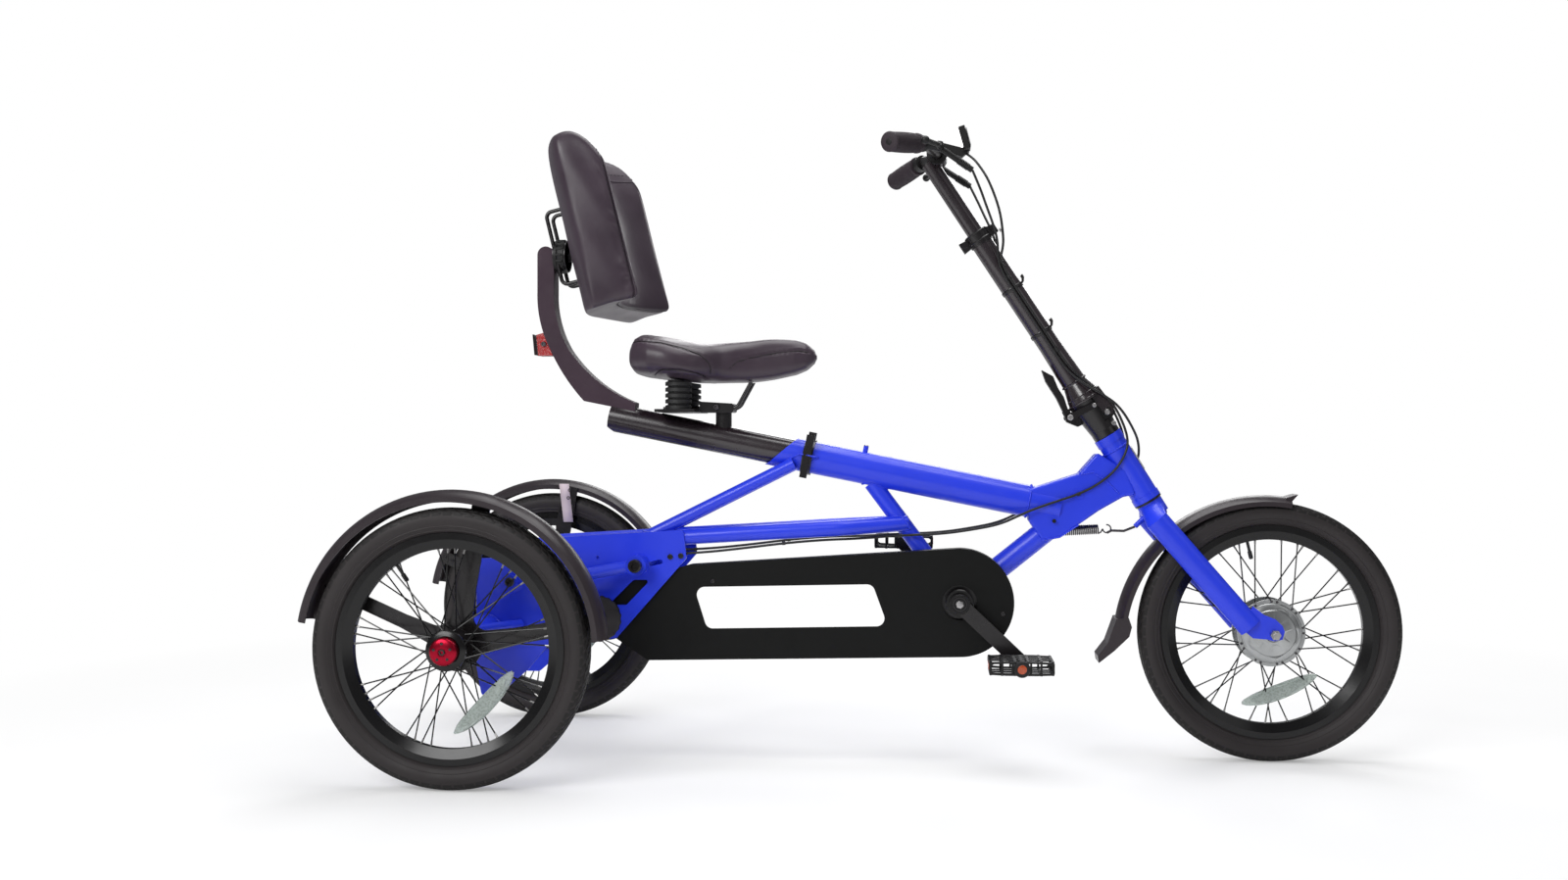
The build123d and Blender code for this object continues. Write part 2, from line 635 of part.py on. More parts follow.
save(legs[0], "fork_leg_right")
save(legs[1], "fork_leg_left")

front_axle = cross_rod(WHEELBASE, TYRE_R, -72, 72, 6)
for side in (-1, 1):
    y0, y1 = side * (LEG_Y + 3), side * (LEG_Y + 13)
    hexagon = Plane.XZ * RegularPolygon(10, 6)
    nut = extrude(hexagon, abs(y1 - y0), dir=(0, side, 0))
    front_axle += Pos(WHEELBASE, y0, TYRE_R) * nut
save(front_axle, "front_axle")

# Front fender with its flared mud flap
FRONT_FENDER_X = WHEELBASE - 9
FRONT_FENDER_Z = TYRE_R - 25
FRONT_FENDER_R = TYRE_R + 38
front_section = fender_section(FRONT_FENDER_R, 31, FENDER_T, 9)
front_fender = arc_strip(front_section, FRONT_FENDER_X, 0, FRONT_FENDER_Z, 80, 92)
FLAP = [
    # (x, z) from the middle of the fender's arc
    (-289, 50), (-290, 46), (-306, 2), (-325, -23), (-323, -37), (-293, -13), (-264, 15), (-259, 34),
    (-265, 52),
]
FLAP_INSIDE = [(-286, 60), (-287, 45), (-303, 1), (-321, -24), (-318, -60), (-240, -10), (-240, 60)]
FENDER_TIP = [(38, 287), (50, 291), (61, 294), (48, 279), (38, 282)]
flap = slab(shifted(FLAP, FRONT_FENDER_X, FRONT_FENDER_Z), -31, 31)
flap -= slab(shifted(FLAP_INSIDE, FRONT_FENDER_X, FRONT_FENDER_Z), -31 + FENDER_T, 31 - FENDER_T)
front_fender += flap
front_fender += slab(shifted(FENDER_TIP, FRONT_FENDER_X, FRONT_FENDER_Z), -24, 24)
front_fender += rod(head(CROWN_LOW, 6), (1304, 0, 436), 6)
for leg in legs:
    front_fender -= leg
front_fender -= crown
front_fender = front_fender.solids().sort_by(SortBy.VOLUME)[-1]
save(front_fender, "front_fender")

# Stem base clamped on the steerer, with the fold's pin and the latch lever
PIN = mast(-PIN_DOWN, PIN_OUT)
LATCH_X = 1132
LATCH_Z = 673
FOOT_R = 36
YOKE_Y = 38
stem_base = rod(head(HEAD_LENGTH + 1), head(HEAD_LENGTH + 40), 27)
base_plane = Plane(origin=head(HEAD_LENGTH + 14), z_dir=Vector(*head(1)) - Vector(*head(0)))
foot_plane = Plane(origin=mast(-0.3), z_dir=Vector(*mast(1)) - Vector(*mast(0)))
waist_plane = Plane(origin=mast(-22, -1), z_dir=foot_plane.z_dir)
stem_base += loft([base_plane * Circle(27), waist_plane * Circle(FOOT_R - 3), foot_plane * Circle(FOOT_R)])
stem_base += slab([mast(-26, 0)[::2], mast(-12, 10)[::2], mast(-PIN_DOWN + 10, PIN_OUT + 12)[::2],
                   mast(-PIN_DOWN - 12, PIN_OUT + 10)[::2], mast(-60, 10)[::2]], -13, 13, 3)
stem_base += slab([(LATCH_X - 9, LATCH_Z + 4), (LATCH_X + 4, LATCH_Z + 9), (1170, 690), (1176, 668),
                   (1150, 655), (LATCH_X - 4, LATCH_Z - 9)], -10, 10, 2)
stem_base -= steerer
for side in (-1, 1):
    stem_base -= slab([mast(5, 6)[::2], mast(5, 60)[::2], mast(-PIN_DOWN - 16, 60)[::2],
                       mast(-PIN_DOWN - 16, 6)[::2]], side * 25.5 - 12, side * 25.5 + 12)
RELIEF = [mast(5, 10), mast(5, 60), mast(-PIN_DOWN, 60), mast(-PIN_DOWN, 10)]
relief = slab([p[::2] for p in RELIEF], -14, 14)
stem_base -= relief - cross_rod(PIN[0], PIN[2], -15, 15, PIN_DOWN - 1.5)
stem_base += cross_rod(PIN[0], PIN[2], -22, 22, 5)
stem_base -= cross_rod(LATCH_X, LATCH_Z, -12, 12, 4)
stem_base = stem_base.solids().sort_by(SortBy.VOLUME)[-1]
save(stem_base, "stem_base")

LEAF = [
    (1079, 767), (1087, 744), (1108, 711), (1121, 684), (1128, 682), (1130, 690), (1122, 714), (1111, 731),
    (1101, 755),
]
latch = slab(LEAF, -11, 11)
latch += cross_rod(LATCH_X, LATCH_Z, -YOKE_Y - 3, YOKE_Y + 3, 4)
for y_from in (-YOKE_Y - 3, YOKE_Y):
    latch += slot((LATCH_X, LATCH_Z), (1178, 697), 6, y_from, y_from + 3)
LEAF_EAR = [(1126, 690), (1120, 684), (1126, 672), (LATCH_X, 669), (1136, 674), (1134, 690)]
latch += slab(LEAF_EAR, -14, -10.5) + slab(LEAF_EAR, 10.5, 14)
latch -= stem_base
latch = latch.solids().sort_by(SortBy.VOLUME)[-1]
save(latch, "mast_latch")

# Mast: foot with two cheeks on the pin, tapered lower tube with cable clips, and height collar
CLIP_OUT = 5
CLIPS = (116, 288)
mast_axis = Vector(*mast(1)) - Vector(*mast(0))


def mast_cone(start, end, r_start, r_end):
    place = Plane(origin=mast(start), z_dir=mast_axis)
    return place * Cone(r_start, r_end, end - start, align=(Align.CENTER, Align.CENTER, Align.MIN))


mast_tube = mast_cone(0, 12, FOOT_R, FOOT_R - 3) + mast_cone(12, 40, FOOT_R - 3, 24.5)
mast_tube += mast_cone(40, 130, 24.5, MAST_R)
mast_tube += rod(mast(130), mast(COLLAR_AT - 14), MAST_R)
for side in (-1, 1):
    cheek = slab([mast(12, 10)[::2], mast(12, 34)[::2], mast(-PIN_DOWN + 4, PIN_OUT + 12)[::2],
                  mast(-PIN_DOWN - 12, PIN_OUT + 2)[::2], mast(-PIN_DOWN, PIN_OUT - 12)[::2]],
                 side * 18 - 4, side * 18 + 4)
    mast_tube += cheek
    for along in CLIPS:
        low, high = along - 6, along + 6
        corners = [mast(low), mast(high), mast(high, CLIP_OUT + 4), mast(low, CLIP_OUT + 4)]
        y0, y1 = sorted((side * 15, side * (CABLE_LANE_Y - CABLE_R)))
        mast_tube += slab([p[::2] for p in corners], y0, y1)
mast_tube -= cross_rod(PIN[0], PIN[2], -40, 40, 5 + RUNNING_FIT)
mast_tube -= rod(mast(30), mast(COLLAR_AT + 10), UPPER_R + RUNNING_FIT)
save(mast_tube, "mast_tube")
collar = tube(mast(COLLAR_AT - 14), mast(COLLAR_AT + 12), 24, UPPER_R + RUNNING_FIT)
for out in (20, -40):
    collar += slab([mast(COLLAR_AT - 12, out)[::2], mast(COLLAR_AT + 10, out)[::2],
                    mast(COLLAR_AT + 8, out + 20)[::2], mast(COLLAR_AT - 10, out + 20)[::2]], -8, 8)
collar -= rod(mast(COLLAR_AT - 14), mast(COLLAR_AT + 12), UPPER_R + RUNNING_FIT)
save(collar, "height_collar")

# Bars: upper tube with its clamp, handlebar, grips, levers and display
BAR_X = 872
BAR_Z = 1194
BAR_R = 11
GRIP_R = 19
GRIP_LENGTH = 106
GRIP_END = (785, -200, 1184)
BAR_BEND = (850, -84, 1203)
BAR_MID = (BAR_X, -34, BAR_Z)
upper = rod(mast(250), mast(566), UPPER_R) - rod(mast(240), mast(552), UPPER_R - 2.5)
bar_clamp = cross_rod(BAR_X, BAR_Z, -22, 22, 20)
upper += bar_clamp
upper -= cross_rod(BAR_X, BAR_Z, -60, 60, BAR_R)
upper = upper.solids().sort_by(SortBy.VOLUME)[-1]
save(upper, "upper_stem")
half_bar = [GRIP_END, BAR_BEND, BAR_MID]
bar_path = half_bar + [(x, -y, z) for x, y, z in reversed(half_bar)]
handlebar = bent(bar_path, [50, 50, 50, 50], BAR_R)
save(handlebar, "handlebar")

grip_dir = (Vector(*BAR_BEND) - Vector(*GRIP_END)).normalized()


def along_grip(distance):
    p = Vector(*GRIP_END) + grip_dir * distance
    return (p.X, p.Y, p.Z)


grip = rod(along_grip(-5), along_grip(GRIP_LENGTH - 5), GRIP_R) - handlebar
save(grip, "grip_right")
save(mirrored(grip), "grip_left")

# Brake levers: a clamp on the bar, a blade ahead of the grip and a cable adjuster
LEVER_PIVOT = (876, -96, 1194)
LEVER_TIP = (850, -192, 1188)
ADJUSTER_END = (940, -88, 1150)
perch = rod(along_grip(GRIP_LENGTH - 2), along_grip(GRIP_LENGTH + 16), 16)
perch += rod(along_grip(GRIP_LENGTH + 7), LEVER_PIVOT, 9)
perch += bent([LEVER_PIVOT, (874, -140, 1190), LEVER_TIP], [40], 5)
perch += Pos(*LEVER_TIP) * Sphere(8) + Pos(*LEVER_PIVOT) * Sphere(10)
perch += rod(LEVER_PIVOT, ADJUSTER_END, 6)
perch -= rod(along_grip(-40), along_grip(400), BAR_R)
perch -= handlebar
perch -= grip
perch = perch.solids().sort_by(SortBy.VOLUME)[-1]
save(perch, "brake_lever_right")
save(mirrored(perch), "brake_lever_left")

DISPLAY = [(926, 1251), (914, 1247), (926, 1203), (937, 1206)]
DISPLAY_FOOT = [(866, 1208), (870, 1224), (937, 1206), (922, 1192), (884, 1204)]
display = slab(DISPLAY, -30, 30, 1.5) + slab(DISPLAY_FOOT, -9, 9) - bar_clamp
display -= cross_rod(BAR_X, BAR_Z, -24, 24, 20)
display = display.solids().sort_by(SortBy.VOLUME)[-1]
save(display, "display")

# Cables from the bars, down the mast, round the head tube and along the frame to the rear.
# Each runs as four lengths that meet end to end, one for each part of the tricycle it is held by.


def cable(points):
    """Round cable through the points, rounded at each as far as its shorter run allows."""
    p = [Vector(*q) for q in points]
    radii = []
    for i in range(1, len(p) - 1):
        before, after = p[i] - p[i - 1], p[i + 1] - p[i]
        turn = radians(before.get_angle(after))
        radii.append(0.45 * min(before.length, after.length) / tan(max(turn, 0.02) / 2))
    piece = bent(points, radii, CABLE_R)
    runs = sum((p[i + 1] - p[i]).length for i in range(len(p) - 1))
    print("cable", round(runs), "mm, tightest bend", round(min(radii)), "mm, volume share",
          round(piece.volume / (pi * CABLE_R ** 2 * runs), 3))
    return piece


def other_side(points):
    return [(x, -y, z) for x, y, z in points]


def lane(along, inward=0):
    """Point of a cable's lane beside the mast."""
    return mast(along, CLIP_OUT - inward, -CABLE_LANE_Y)


INNER = 6.5
TOP_SPLIT = 276
LOW_SPLIT = 106
FIRST_BARS = [
    (928, 0, 1201), (942, -4, 1192), (957, -12, 1172), (972, -22, 1146), (985, -28, 1113), (996, -29, 1078),
    (1001, -28, 1043), (1003, -26, 1014), lane(CLIPS[1] + 34), lane(TOP_SPLIT),
]
SECOND_BARS = [
    ADJUSTER_END, (955, -78, 1118), (968, -60, 1085), (982, -42, 1052), (992, -30, 1019),
    lane(CLIPS[1] + 30, INNER), lane(TOP_SPLIT, INNER),
]
RIGHT_SPLIT = (1236, -27, 659)
SECOND_SPLIT = (1248, -20, 665)
FIRST_STEM = [
    lane(LOW_SPLIT), lane(82), (1158, -26, 746), (1190, -30, 724), (1222, -25.6, 695.4), RIGHT_SPLIT,
]
SECOND_STEM = [
    lane(LOW_SPLIT, INNER), lane(84, INNER), (1136, -29, 757), (1160, -34, 738), (1192, -38, 720),
    (1230, -32, 694), SECOND_SPLIT,
]
THIRD_STEM = other_side([
    lane(LOW_SPLIT, INNER), lane(84, INNER), (1138, -28, 757), (1163, -28, 739), (1192, -30, 721),
    (1222, -25.6, 695.4), RIGHT_SPLIT,
])
FRAME_ROUTE = [
    RIGHT_SPLIT, (1246, -28, 633), (1240, -33, 602), (1219, -31, 568), (1185, -31, 541), (1149, -31, 523),
    (1109, -36, 510), (1065, -38, 495), (1033, -38, 481), (995, -35, 463), (940, -31, 452), (879, -27, 443),
    (800, -24, 440), (720, -38, 434), (648, -50, 432), (570, -51, 425), (492, -51, 415), (430, -54, 408),
    (376, -55, 404), (304, -56, 402), (232, -56, 400), (160, -55, 399),
]
SECOND_FRAME = [
    SECOND_SPLIT, (1262.4, -10.4, 641.8), (1271, 6, 616), (1272, 25, 590), (1253, 38, 565), (1218, 36, 547),
    (1190, 24, 540),
]
first_cable = (cable(FIRST_BARS) - display).solids().sort_by(SortBy.VOLUME)[-1]
second_cable = (cable(SECOND_BARS) - perch).solids().sort_by(SortBy.VOLUME)[-1]
save(Compound([first_cable, second_cable, mirrored(second_cable)]), "cable_bars")
mast_lanes = [rod(lane(TOP_SPLIT, k), lane(LOW_SPLIT, k), CABLE_R) for k in (0, INNER)]
save(Compound([*mast_lanes, mirrored(mast_lanes[1])]), "cable_mast")
save(Compound([cable(FIRST_STEM), cable(SECOND_STEM), cable(THIRD_STEM)]), "cable_stem")
frame_cable = cable(FRAME_ROUTE)
second_frame = (cable(SECOND_FRAME) - head_tube).solids().sort_by(SortBy.VOLUME)[-1]
save(Compound([frame_cable, mirrored(frame_cable), second_frame]), "cable_frame")

# Return spring between the down tube and the fork crown
SPRING_BACK = (1110, 0, 448)
spring_rod = rod(SPRING_BACK, (1190, 0, 452), 10) + rod((1190, 0, 452), (1250, 0, 456), 3)
spring_rod += rod((1085, 0, 442), SPRING_BACK, 3)
spring_rod -= down_tube + neck
spring_rod = spring_rod.solids().sort_by(SortBy.VOLUME)[-1]
save(spring_rod, "return_spring")


# Wheels
FRONT_FLANGE_R = 65
REAR_FLANGE_R = 34


def tyre():
    """Hollow tyre with its beads on the rim's seats."""
    half = TYRE_HALF_W
    seat = BEAD_SEAT_R
    bead = seat + 7
    wide = seat + 28
    outer = [
        Line((8.5, seat), (12.5, seat)), Line((12.5, seat), (12.5, bead)), Line((12.5, bead), (15.5, bead)),
        ThreePointArc((15.5, bead), (half, wide), (15, TYRE_R - 4)),
        ThreePointArc((15, TYRE_R - 4), (0, TYRE_R), (-15, TYRE_R - 4)),
        ThreePointArc((-15, TYRE_R - 4), (-half, wide), (-15.5, bead)),
        Line((-15.5, bead), (-12.5, bead)), Line((-12.5, bead), (-12.5, seat)),
        Line((-12.5, seat), (-8.5, seat)),
        Line((-8.5, seat), (-8.5, bead)), ThreePointArc((-8.5, bead), (3.5 - half, wide), (-12.5, TYRE_R - 8)),
        ThreePointArc((-12.5, TYRE_R - 8), (0, TYRE_R - 5), (12.5, TYRE_R - 8)),
        ThreePointArc((12.5, TYRE_R - 8), (half - 3.5, wide), (8.5, bead)), Line((8.5, bead), (8.5, seat)),
    ]
    return revolve(Plane.YZ * make_face(outer), Axis.Y, 360)


RIM_HALF_W = 14.5
RIM_EDGE_R = BEAD_SEAT_R + 6
RIM_WELL_R = BEAD_SEAT_R - 4
RIM_SIDE_R = BEAD_SEAT_R - 6
RIM = [
    (RIM_HALF_W, RIM_EDGE_R), (RIM_HALF_W - 2, RIM_EDGE_R), (RIM_HALF_W - 2, BEAD_SEAT_R), (7, BEAD_SEAT_R),
    (5, RIM_WELL_R), (-5, RIM_WELL_R), (-7, BEAD_SEAT_R), (2 - RIM_HALF_W, BEAD_SEAT_R),
    (2 - RIM_HALF_W, RIM_EDGE_R), (-RIM_HALF_W, RIM_EDGE_R), (-RIM_HALF_W, RIM_SIDE_R), (-6, RIM_INNER_R),
    (6, RIM_INNER_R), (RIM_HALF_W, RIM_SIDE_R),
]


def spoke(flange_r, flange_y, side, lead, turn):
    """Six-sided spoke from beside a hub flange to the rim, leaning ahead or behind."""
    y0 = flange_y + lead * 2.2 * (1 if flange_y > 0 else -1)
    a0, a1 = radians(turn), radians(turn + lead * side)
    p = Vector((flange_r - 4) * cos(a0), y0, (flange_r - 4) * sin(a0))
    q = Vector((RIM_INNER_R + 3) * cos(a1), 0, (RIM_INNER_R + 3) * sin(a1))
    return Plane(origin=p, z_dir=q - p) * extrude(RegularPolygon(SPOKE_R, 6), (q - p).length)


def wheel(name, x, y, hub, flange_r, flange_ys, lace):
    rim = ring_about_y(RIM)
    step = 360 / (SPOKE_COUNT / 4)
    for k, flange_y in enumerate(flange_ys):
        for lead in (-1, 1):
            first = spoke(flange_r, flange_y, lace, lead, (k * 10) + (lead + 1) * 5) - hub - rim
            first = first.solids().sort_by(SortBy.VOLUME)[-1]
            for i in range(SPOKE_COUNT // 4):
                rim += Rot(0, i * step, 0) * first
    place = Pos(x, y, TYRE_R)
    save(place * tyre(), f"{name}_tyre")
    save(place * rim, f"{name}_rim")
    save(place * hub, f"{name}_hub")


front_hub = ring_about_y([
    (-48, 6 + RUNNING_FIT), (-48, 14), (-40, 18), (-36, 44), (-27, 54),
    (-27, FRONT_FLANGE_R), (-23, FRONT_FLANGE_R),
    (-23, 58), (23, 58), (23, FRONT_FLANGE_R), (27, FRONT_FLANGE_R), (27, 54), (36, 44), (40, 18), (48, 14),
    (48, 6 + RUNNING_FIT),
])
wheel("front_wheel", WHEELBASE, 0, front_hub, FRONT_FLANGE_R, (-25, 25), 22)


def rear_hub(extra):
    """Right rear hub with its axle; y runs inward from the wheel's middle plane."""
    inner_end = HALF_TRACK - CARRIER_IN + 14
    body = [
        (-50, 0), (-50, 18), (-44, 24), (-31, 24.5), (-31, REAR_FLANGE_R), (-27, REAR_FLANGE_R), (-27, 22),
        (17, 22), (17, REAR_FLANGE_R), (21, REAR_FLANGE_R), (21, 20), (26, 16), (26, AXLE_R),
        (inner_end, AXLE_R), (inner_end, 0),
    ]
    return ring_about_y(body) + extra


COG_AT = HALF_TRACK + SECOND_Y
drive = ring_about_y([(COG_AT - 7, 0), (COG_AT - 7, 30), (COG_AT + 7, 30), (COG_AT + 7, 0)])
drive += sprocket(COG_TEETH, 0, 0, COG_AT, 2.4)
DISC_AT = HALF_TRACK - CARRIER_IN + 11
disc_brake = ring_about_y([(DISC_AT - 1, 0), (DISC_AT - 1, 80), (DISC_AT + 1, 80), (DISC_AT + 1, 0)])
hub_right = rear_hub(drive)
hub_left = mirrored(rear_hub(disc_brake))
wheel("rear_right", 0, -HALF_TRACK, hub_right, REAR_FLANGE_R, (-29, 19), 38)
wheel("rear_left", 0, HALF_TRACK, hub_left, REAR_FLANGE_R, (-19, 29), 38)


# Cranks with the chainring, and the pedals
def crank_point(turn, y):
    a = radians(CRANK_ANGLE + turn)
    return (BB_X + CRANK_LENGTH * cos(a), y, BB_Z + CRANK_LENGTH * sin(a))


crank = cross_rod(BB_X, BB_Z, -90, 90, AXLE_R)
for side in (-1, 1):
    crank += cross_rod(BB_X, BB_Z, side * 90, side * 76, 20)
ring = sprocket(RING_TEETH, BB_X, BB_Z, CHAIN_Y, 2.6)
ring -= cross_rod(BB_X, BB_Z, CHAIN_Y - 5, CHAIN_Y + 5, 66)
for i in range(5):
    a = radians(CRANK_ANGLE + 72 * i)
    tip = (BB_X + 72 * cos(a), BB_Z + 72 * sin(a))
    ring += slot((BB_X, BB_Z), tip, 9, CHAIN_Y - 2.5, CHAIN_Y + 2.5)
crank += ring + cross_rod(BB_X, BB_Z, -80, -40, 18)
crank += cross_rod(BB_X, BB_Z, CHAIN_Y - 1.3, CHAIN_Y + 1.3, 42)
for turn, side in ((0, -1), (180, 1)):
    tip = crank_point(turn, 0)
    y0, y1 = sorted((side * 78, side * 90))
    arm = slot((BB_X, BB_Z), (tip[0], tip[2]), 15, y0, y1)
    crank += arm
    crank -= cross_rod(tip[0], tip[2], y0 - 1, y1 + 1, PEDAL_PIN_R)
    crank += cross_rod(tip[0], tip[2], side * 78, side * 196, PEDAL_PIN_R)
save(crank, "crank_set")

PEDAL_HALF_L = 60
PEDAL_HALF_T = 14


def pedal(turn, side):
    x, _, z = crank_point(turn, 0)
    y0, y1 = sorted((side * 100, side * 192))
    body = slab([(x - PEDAL_HALF_L, z - PEDAL_HALF_T), (x + PEDAL_HALF_L, z - PEDAL_HALF_T),
                 (x + PEDAL_HALF_L, z + PEDAL_HALF_T), (x - PEDAL_HALF_L, z + PEDAL_HALF_T)], y0, y1, 5)
    for dx in (-1, 1):
        near, far = x + dx * 16, x + dx * 46
        body -= slab([(near, z - 20), (far, z - 20), (far, z + 20), (near, z + 20)], y0 + 10, y1 - 10)
    cap = cross_rod(x, z, side * 192, side * 202, 15)
    return body + cap - cross_rod(x, z, y0 - 1, y0 + 96 if side > 0 else y1 + 1, PEDAL_PIN_R + RUNNING_FIT)


for name, turn, side in (("pedal_right", 0, -1), ("pedal_left", 180, 1)):
    x, _, z = crank_point(turn, 0)
    piece = pedal(turn, side)
    piece -= rod((x, side * 90, z), (x, side * 197, z), PEDAL_PIN_R + RUNNING_FIT)
    save(piece, name)
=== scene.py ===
from math import atan2, ceil, cos, exp, hypot, pi, radians, sin, sqrt

import bmesh
import bpy
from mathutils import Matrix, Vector


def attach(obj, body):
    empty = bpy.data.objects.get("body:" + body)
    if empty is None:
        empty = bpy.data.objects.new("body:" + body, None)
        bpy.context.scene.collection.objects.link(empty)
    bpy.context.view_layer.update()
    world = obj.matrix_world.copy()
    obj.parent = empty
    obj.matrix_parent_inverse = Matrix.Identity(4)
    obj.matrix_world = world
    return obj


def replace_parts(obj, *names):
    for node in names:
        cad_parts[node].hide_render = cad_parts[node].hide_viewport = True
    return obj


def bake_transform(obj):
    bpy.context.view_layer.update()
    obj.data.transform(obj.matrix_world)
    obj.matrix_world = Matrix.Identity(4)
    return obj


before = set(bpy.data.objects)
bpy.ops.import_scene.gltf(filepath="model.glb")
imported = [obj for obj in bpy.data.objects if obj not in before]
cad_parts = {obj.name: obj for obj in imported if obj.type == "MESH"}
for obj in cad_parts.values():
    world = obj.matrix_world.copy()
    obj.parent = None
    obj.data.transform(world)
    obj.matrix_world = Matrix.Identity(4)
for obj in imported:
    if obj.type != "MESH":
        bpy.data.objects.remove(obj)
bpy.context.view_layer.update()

# Places are in millimetres from the floor under the rear axle, as in the CAD source; the shared frame starts
# MIDDLE_X ahead of it.
MIDDLE_X = 746
WHEELBASE = 1520
HALF_TRACK = 345
TYRE_R = 254
RIM_INNER_R = 180
HEAD_LOW = (1286, 511)
HEAD_TILT = radians(31.6)
MAST_LOW = (1166, 707)
MAST_TILT = radians(33.1)
MAIN_START = (644, 589.5)
MAIN_SLOPE = radians(11.3)
BB = (916, 311)
CRANK_LENGTH = 155
CRANK_ANGLE = radians(-43.4)
JACKSHAFT = (218, 283)
RING_TEETH, COG_TEETH = 44, 20
PITCH = 12.7
CHAIN_Y, SECOND_Y = -45, -134
BAR_CLAMP = (872, 1194)
PLATE_Y = 66
NECK_Y = 26.2
STAY_Y = 47
BOTH, RIGHT = (-1, 1), (-1,)
Y = (0, 1, 0)
SIDES = (("right", -1), ("left", 1))


def at(x, y, z):
    return Vector(((x - MIDDLE_X) / 1000, y / 1000, z / 1000))


def axis_places(start, along_x, along_z, out_x, out_z):
    """A function that gives the place a distance along an axis in the side view, out from it and across."""
    return lambda along, out=0, y=0: Vector((start[0] + along * along_x + out * out_x, y,
                                             start[1] + along * along_z + out * out_z))


head = axis_places(HEAD_LOW, -sin(HEAD_TILT), cos(HEAD_TILT), cos(HEAD_TILT), sin(HEAD_TILT))
mast = axis_places(MAST_LOW, -sin(MAST_TILT), cos(MAST_TILT), cos(MAST_TILT), sin(MAST_TILT))
main = axis_places(MAIN_START, cos(MAIN_SLOPE), -sin(MAIN_SLOPE), sin(MAIN_SLOPE), cos(MAIN_SLOPE))
HEAD_AXIS, MAST_AXIS, MAIN_AXIS = head(1) - head(0), mast(1) - mast(0), main(1) - main(0)


def clamp(value):
    return max(0.0, min(1.0, value))


def turns(count, start=0.0):
    """Even angles round a circle."""
    return [2 * pi * k / count + start for k in range(count)]


def in_scene(name, data):
    thing = bpy.data.objects.new(name, data)
    bpy.context.scene.collection.objects.link(thing)
    return thing


def carry(piece, body):
    """Ride on one body. A piece given two bodies and the places of a bend is only fixed where it stands; these bodies
    and places are not used.
    """
    if isinstance(body, str):
        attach(piece, body)
    else:
        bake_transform(piece)


# Camera at the photograph's view
camera_data = bpy.data.cameras.new("camera")
camera_data.sensor_width = 36
camera_data.lens = 32.54
camera_data.shift_x = -0.0269
camera = in_scene("camera", camera_data)
camera.location = (0.1178, -2.8380, 0.6290)
camera.rotation_euler = (radians(90), 0, 0.0751)
bpy.context.scene.camera = camera
bpy.context.scene.view_settings.view_transform = "Standard"


# Materials
class Nodes:
    """Short calls for building one material's node tree."""

    def __init__(self, name):
        self.material = bpy.data.materials.new(name)
        self.material.use_nodes = True
        self.tree = self.material.node_tree
        self.shader = self.tree.nodes["Principled BSDF"]
        self.place = self.add("ShaderNodeTexCoord").outputs["Object"]

    def add(self, kind, **sockets):
        node = self.tree.nodes.new(kind)
        for key, value in sockets.items():
            node.inputs[key.replace("_", " ")].default_value = value
        return node

    def link(self, a, b):
        self.tree.links.new(a, b)

    def noise(self, scale, detail=3.0, rough=0.5):
        node = self.add("ShaderNodeTexNoise", Scale=scale, Detail=detail, Roughness=rough)
        self.link(self.place, node.inputs["Vector"])
        return node.outputs["Fac"]

    def cells(self, scale):
        node = self.add("ShaderNodeTexVoronoi", Scale=scale)
        self.link(self.place, node.inputs["Vector"])
        return node.outputs["Distance"]

    def spread(self, value, low, high, start=0.3, end=0.7):
        node = self.add("ShaderNodeMapRange")
        for key, number in (("From Min", start), ("From Max", end), ("To Min", low), ("To Max", high)):
            node.inputs[key].default_value = number
        self.link(value, node.inputs["Value"])
        return node.outputs["Result"]

    def shades(self, value, stops):
        ramp = self.add("ShaderNodeValToRGB")
        for element, (position, color) in zip(ramp.color_ramp.elements, stops):
            element.position = position
            element.color = (*color, 1)
        self.link(value, ramp.inputs["Fac"])
        return ramp.outputs["Color"]

    def mottled(self, color, scale, detail, dark, light, end=0.7):
        return self.shades(self.noise(scale, detail), [(0.3, tinted(color, dark)), (end, tinted(color, light))])

    def worn(self, rough, scale, detail=5, high=1.2, low=0.85):
        return self.spread(self.noise(scale, detail), rough * low, rough * high)

    def bump(self, value, distance, strength=1.0, below=None):
        node = self.add("ShaderNodeBump", Strength=strength, Distance=distance)
        self.link(value, node.inputs["Height"])
        if below is not None:
            self.link(below, node.inputs["Normal"])
        return node.outputs["Normal"]

    def set(self, **sockets):
        for key, value in sockets.items():
            socket = self.shader.inputs[key.replace("_", " ")]
            if isinstance(value, bpy.types.NodeSocket):
                self.link(value, socket)
            else:
                socket.default_value = value
        return self.material


def math_of(tree, operation, a, b):
    node = tree.nodes.new("ShaderNodeMath")
    node.operation = operation
    tree.links.new(a, node.inputs[0])
    tree.links.new(b, node.inputs[1])
    return node.outputs[0]


def show_mix(tree, output, share, first, second):
    """Send the output node a mix of two shaders."""
    mix = tree.nodes.new("ShaderNodeMixShader")
    for socket, source in zip(mix.inputs, (share, first, second)):
        tree.links.new(source, socket)
    tree.links.new(mix.outputs[0], tree.nodes[output].inputs["Surface"])


def tinted(color, change):
    return tuple(c * change for c in color)


def painted(name, color, rough, coat=0.0, grain=700, depth=0.00004, wear=0.12, specular=0.5):
    n = Nodes(name)
    return n.set(Base_Color=n.mottled(color, 7, 4, 1 - wear, 1 + wear), Roughness=n.worn(rough, 26),
                 Normal=n.bump(n.noise(grain, 2), depth, 0.6), Coat_Weight=coat, Coat_Roughness=0.12,
                 Specular_IOR_Level=specular)


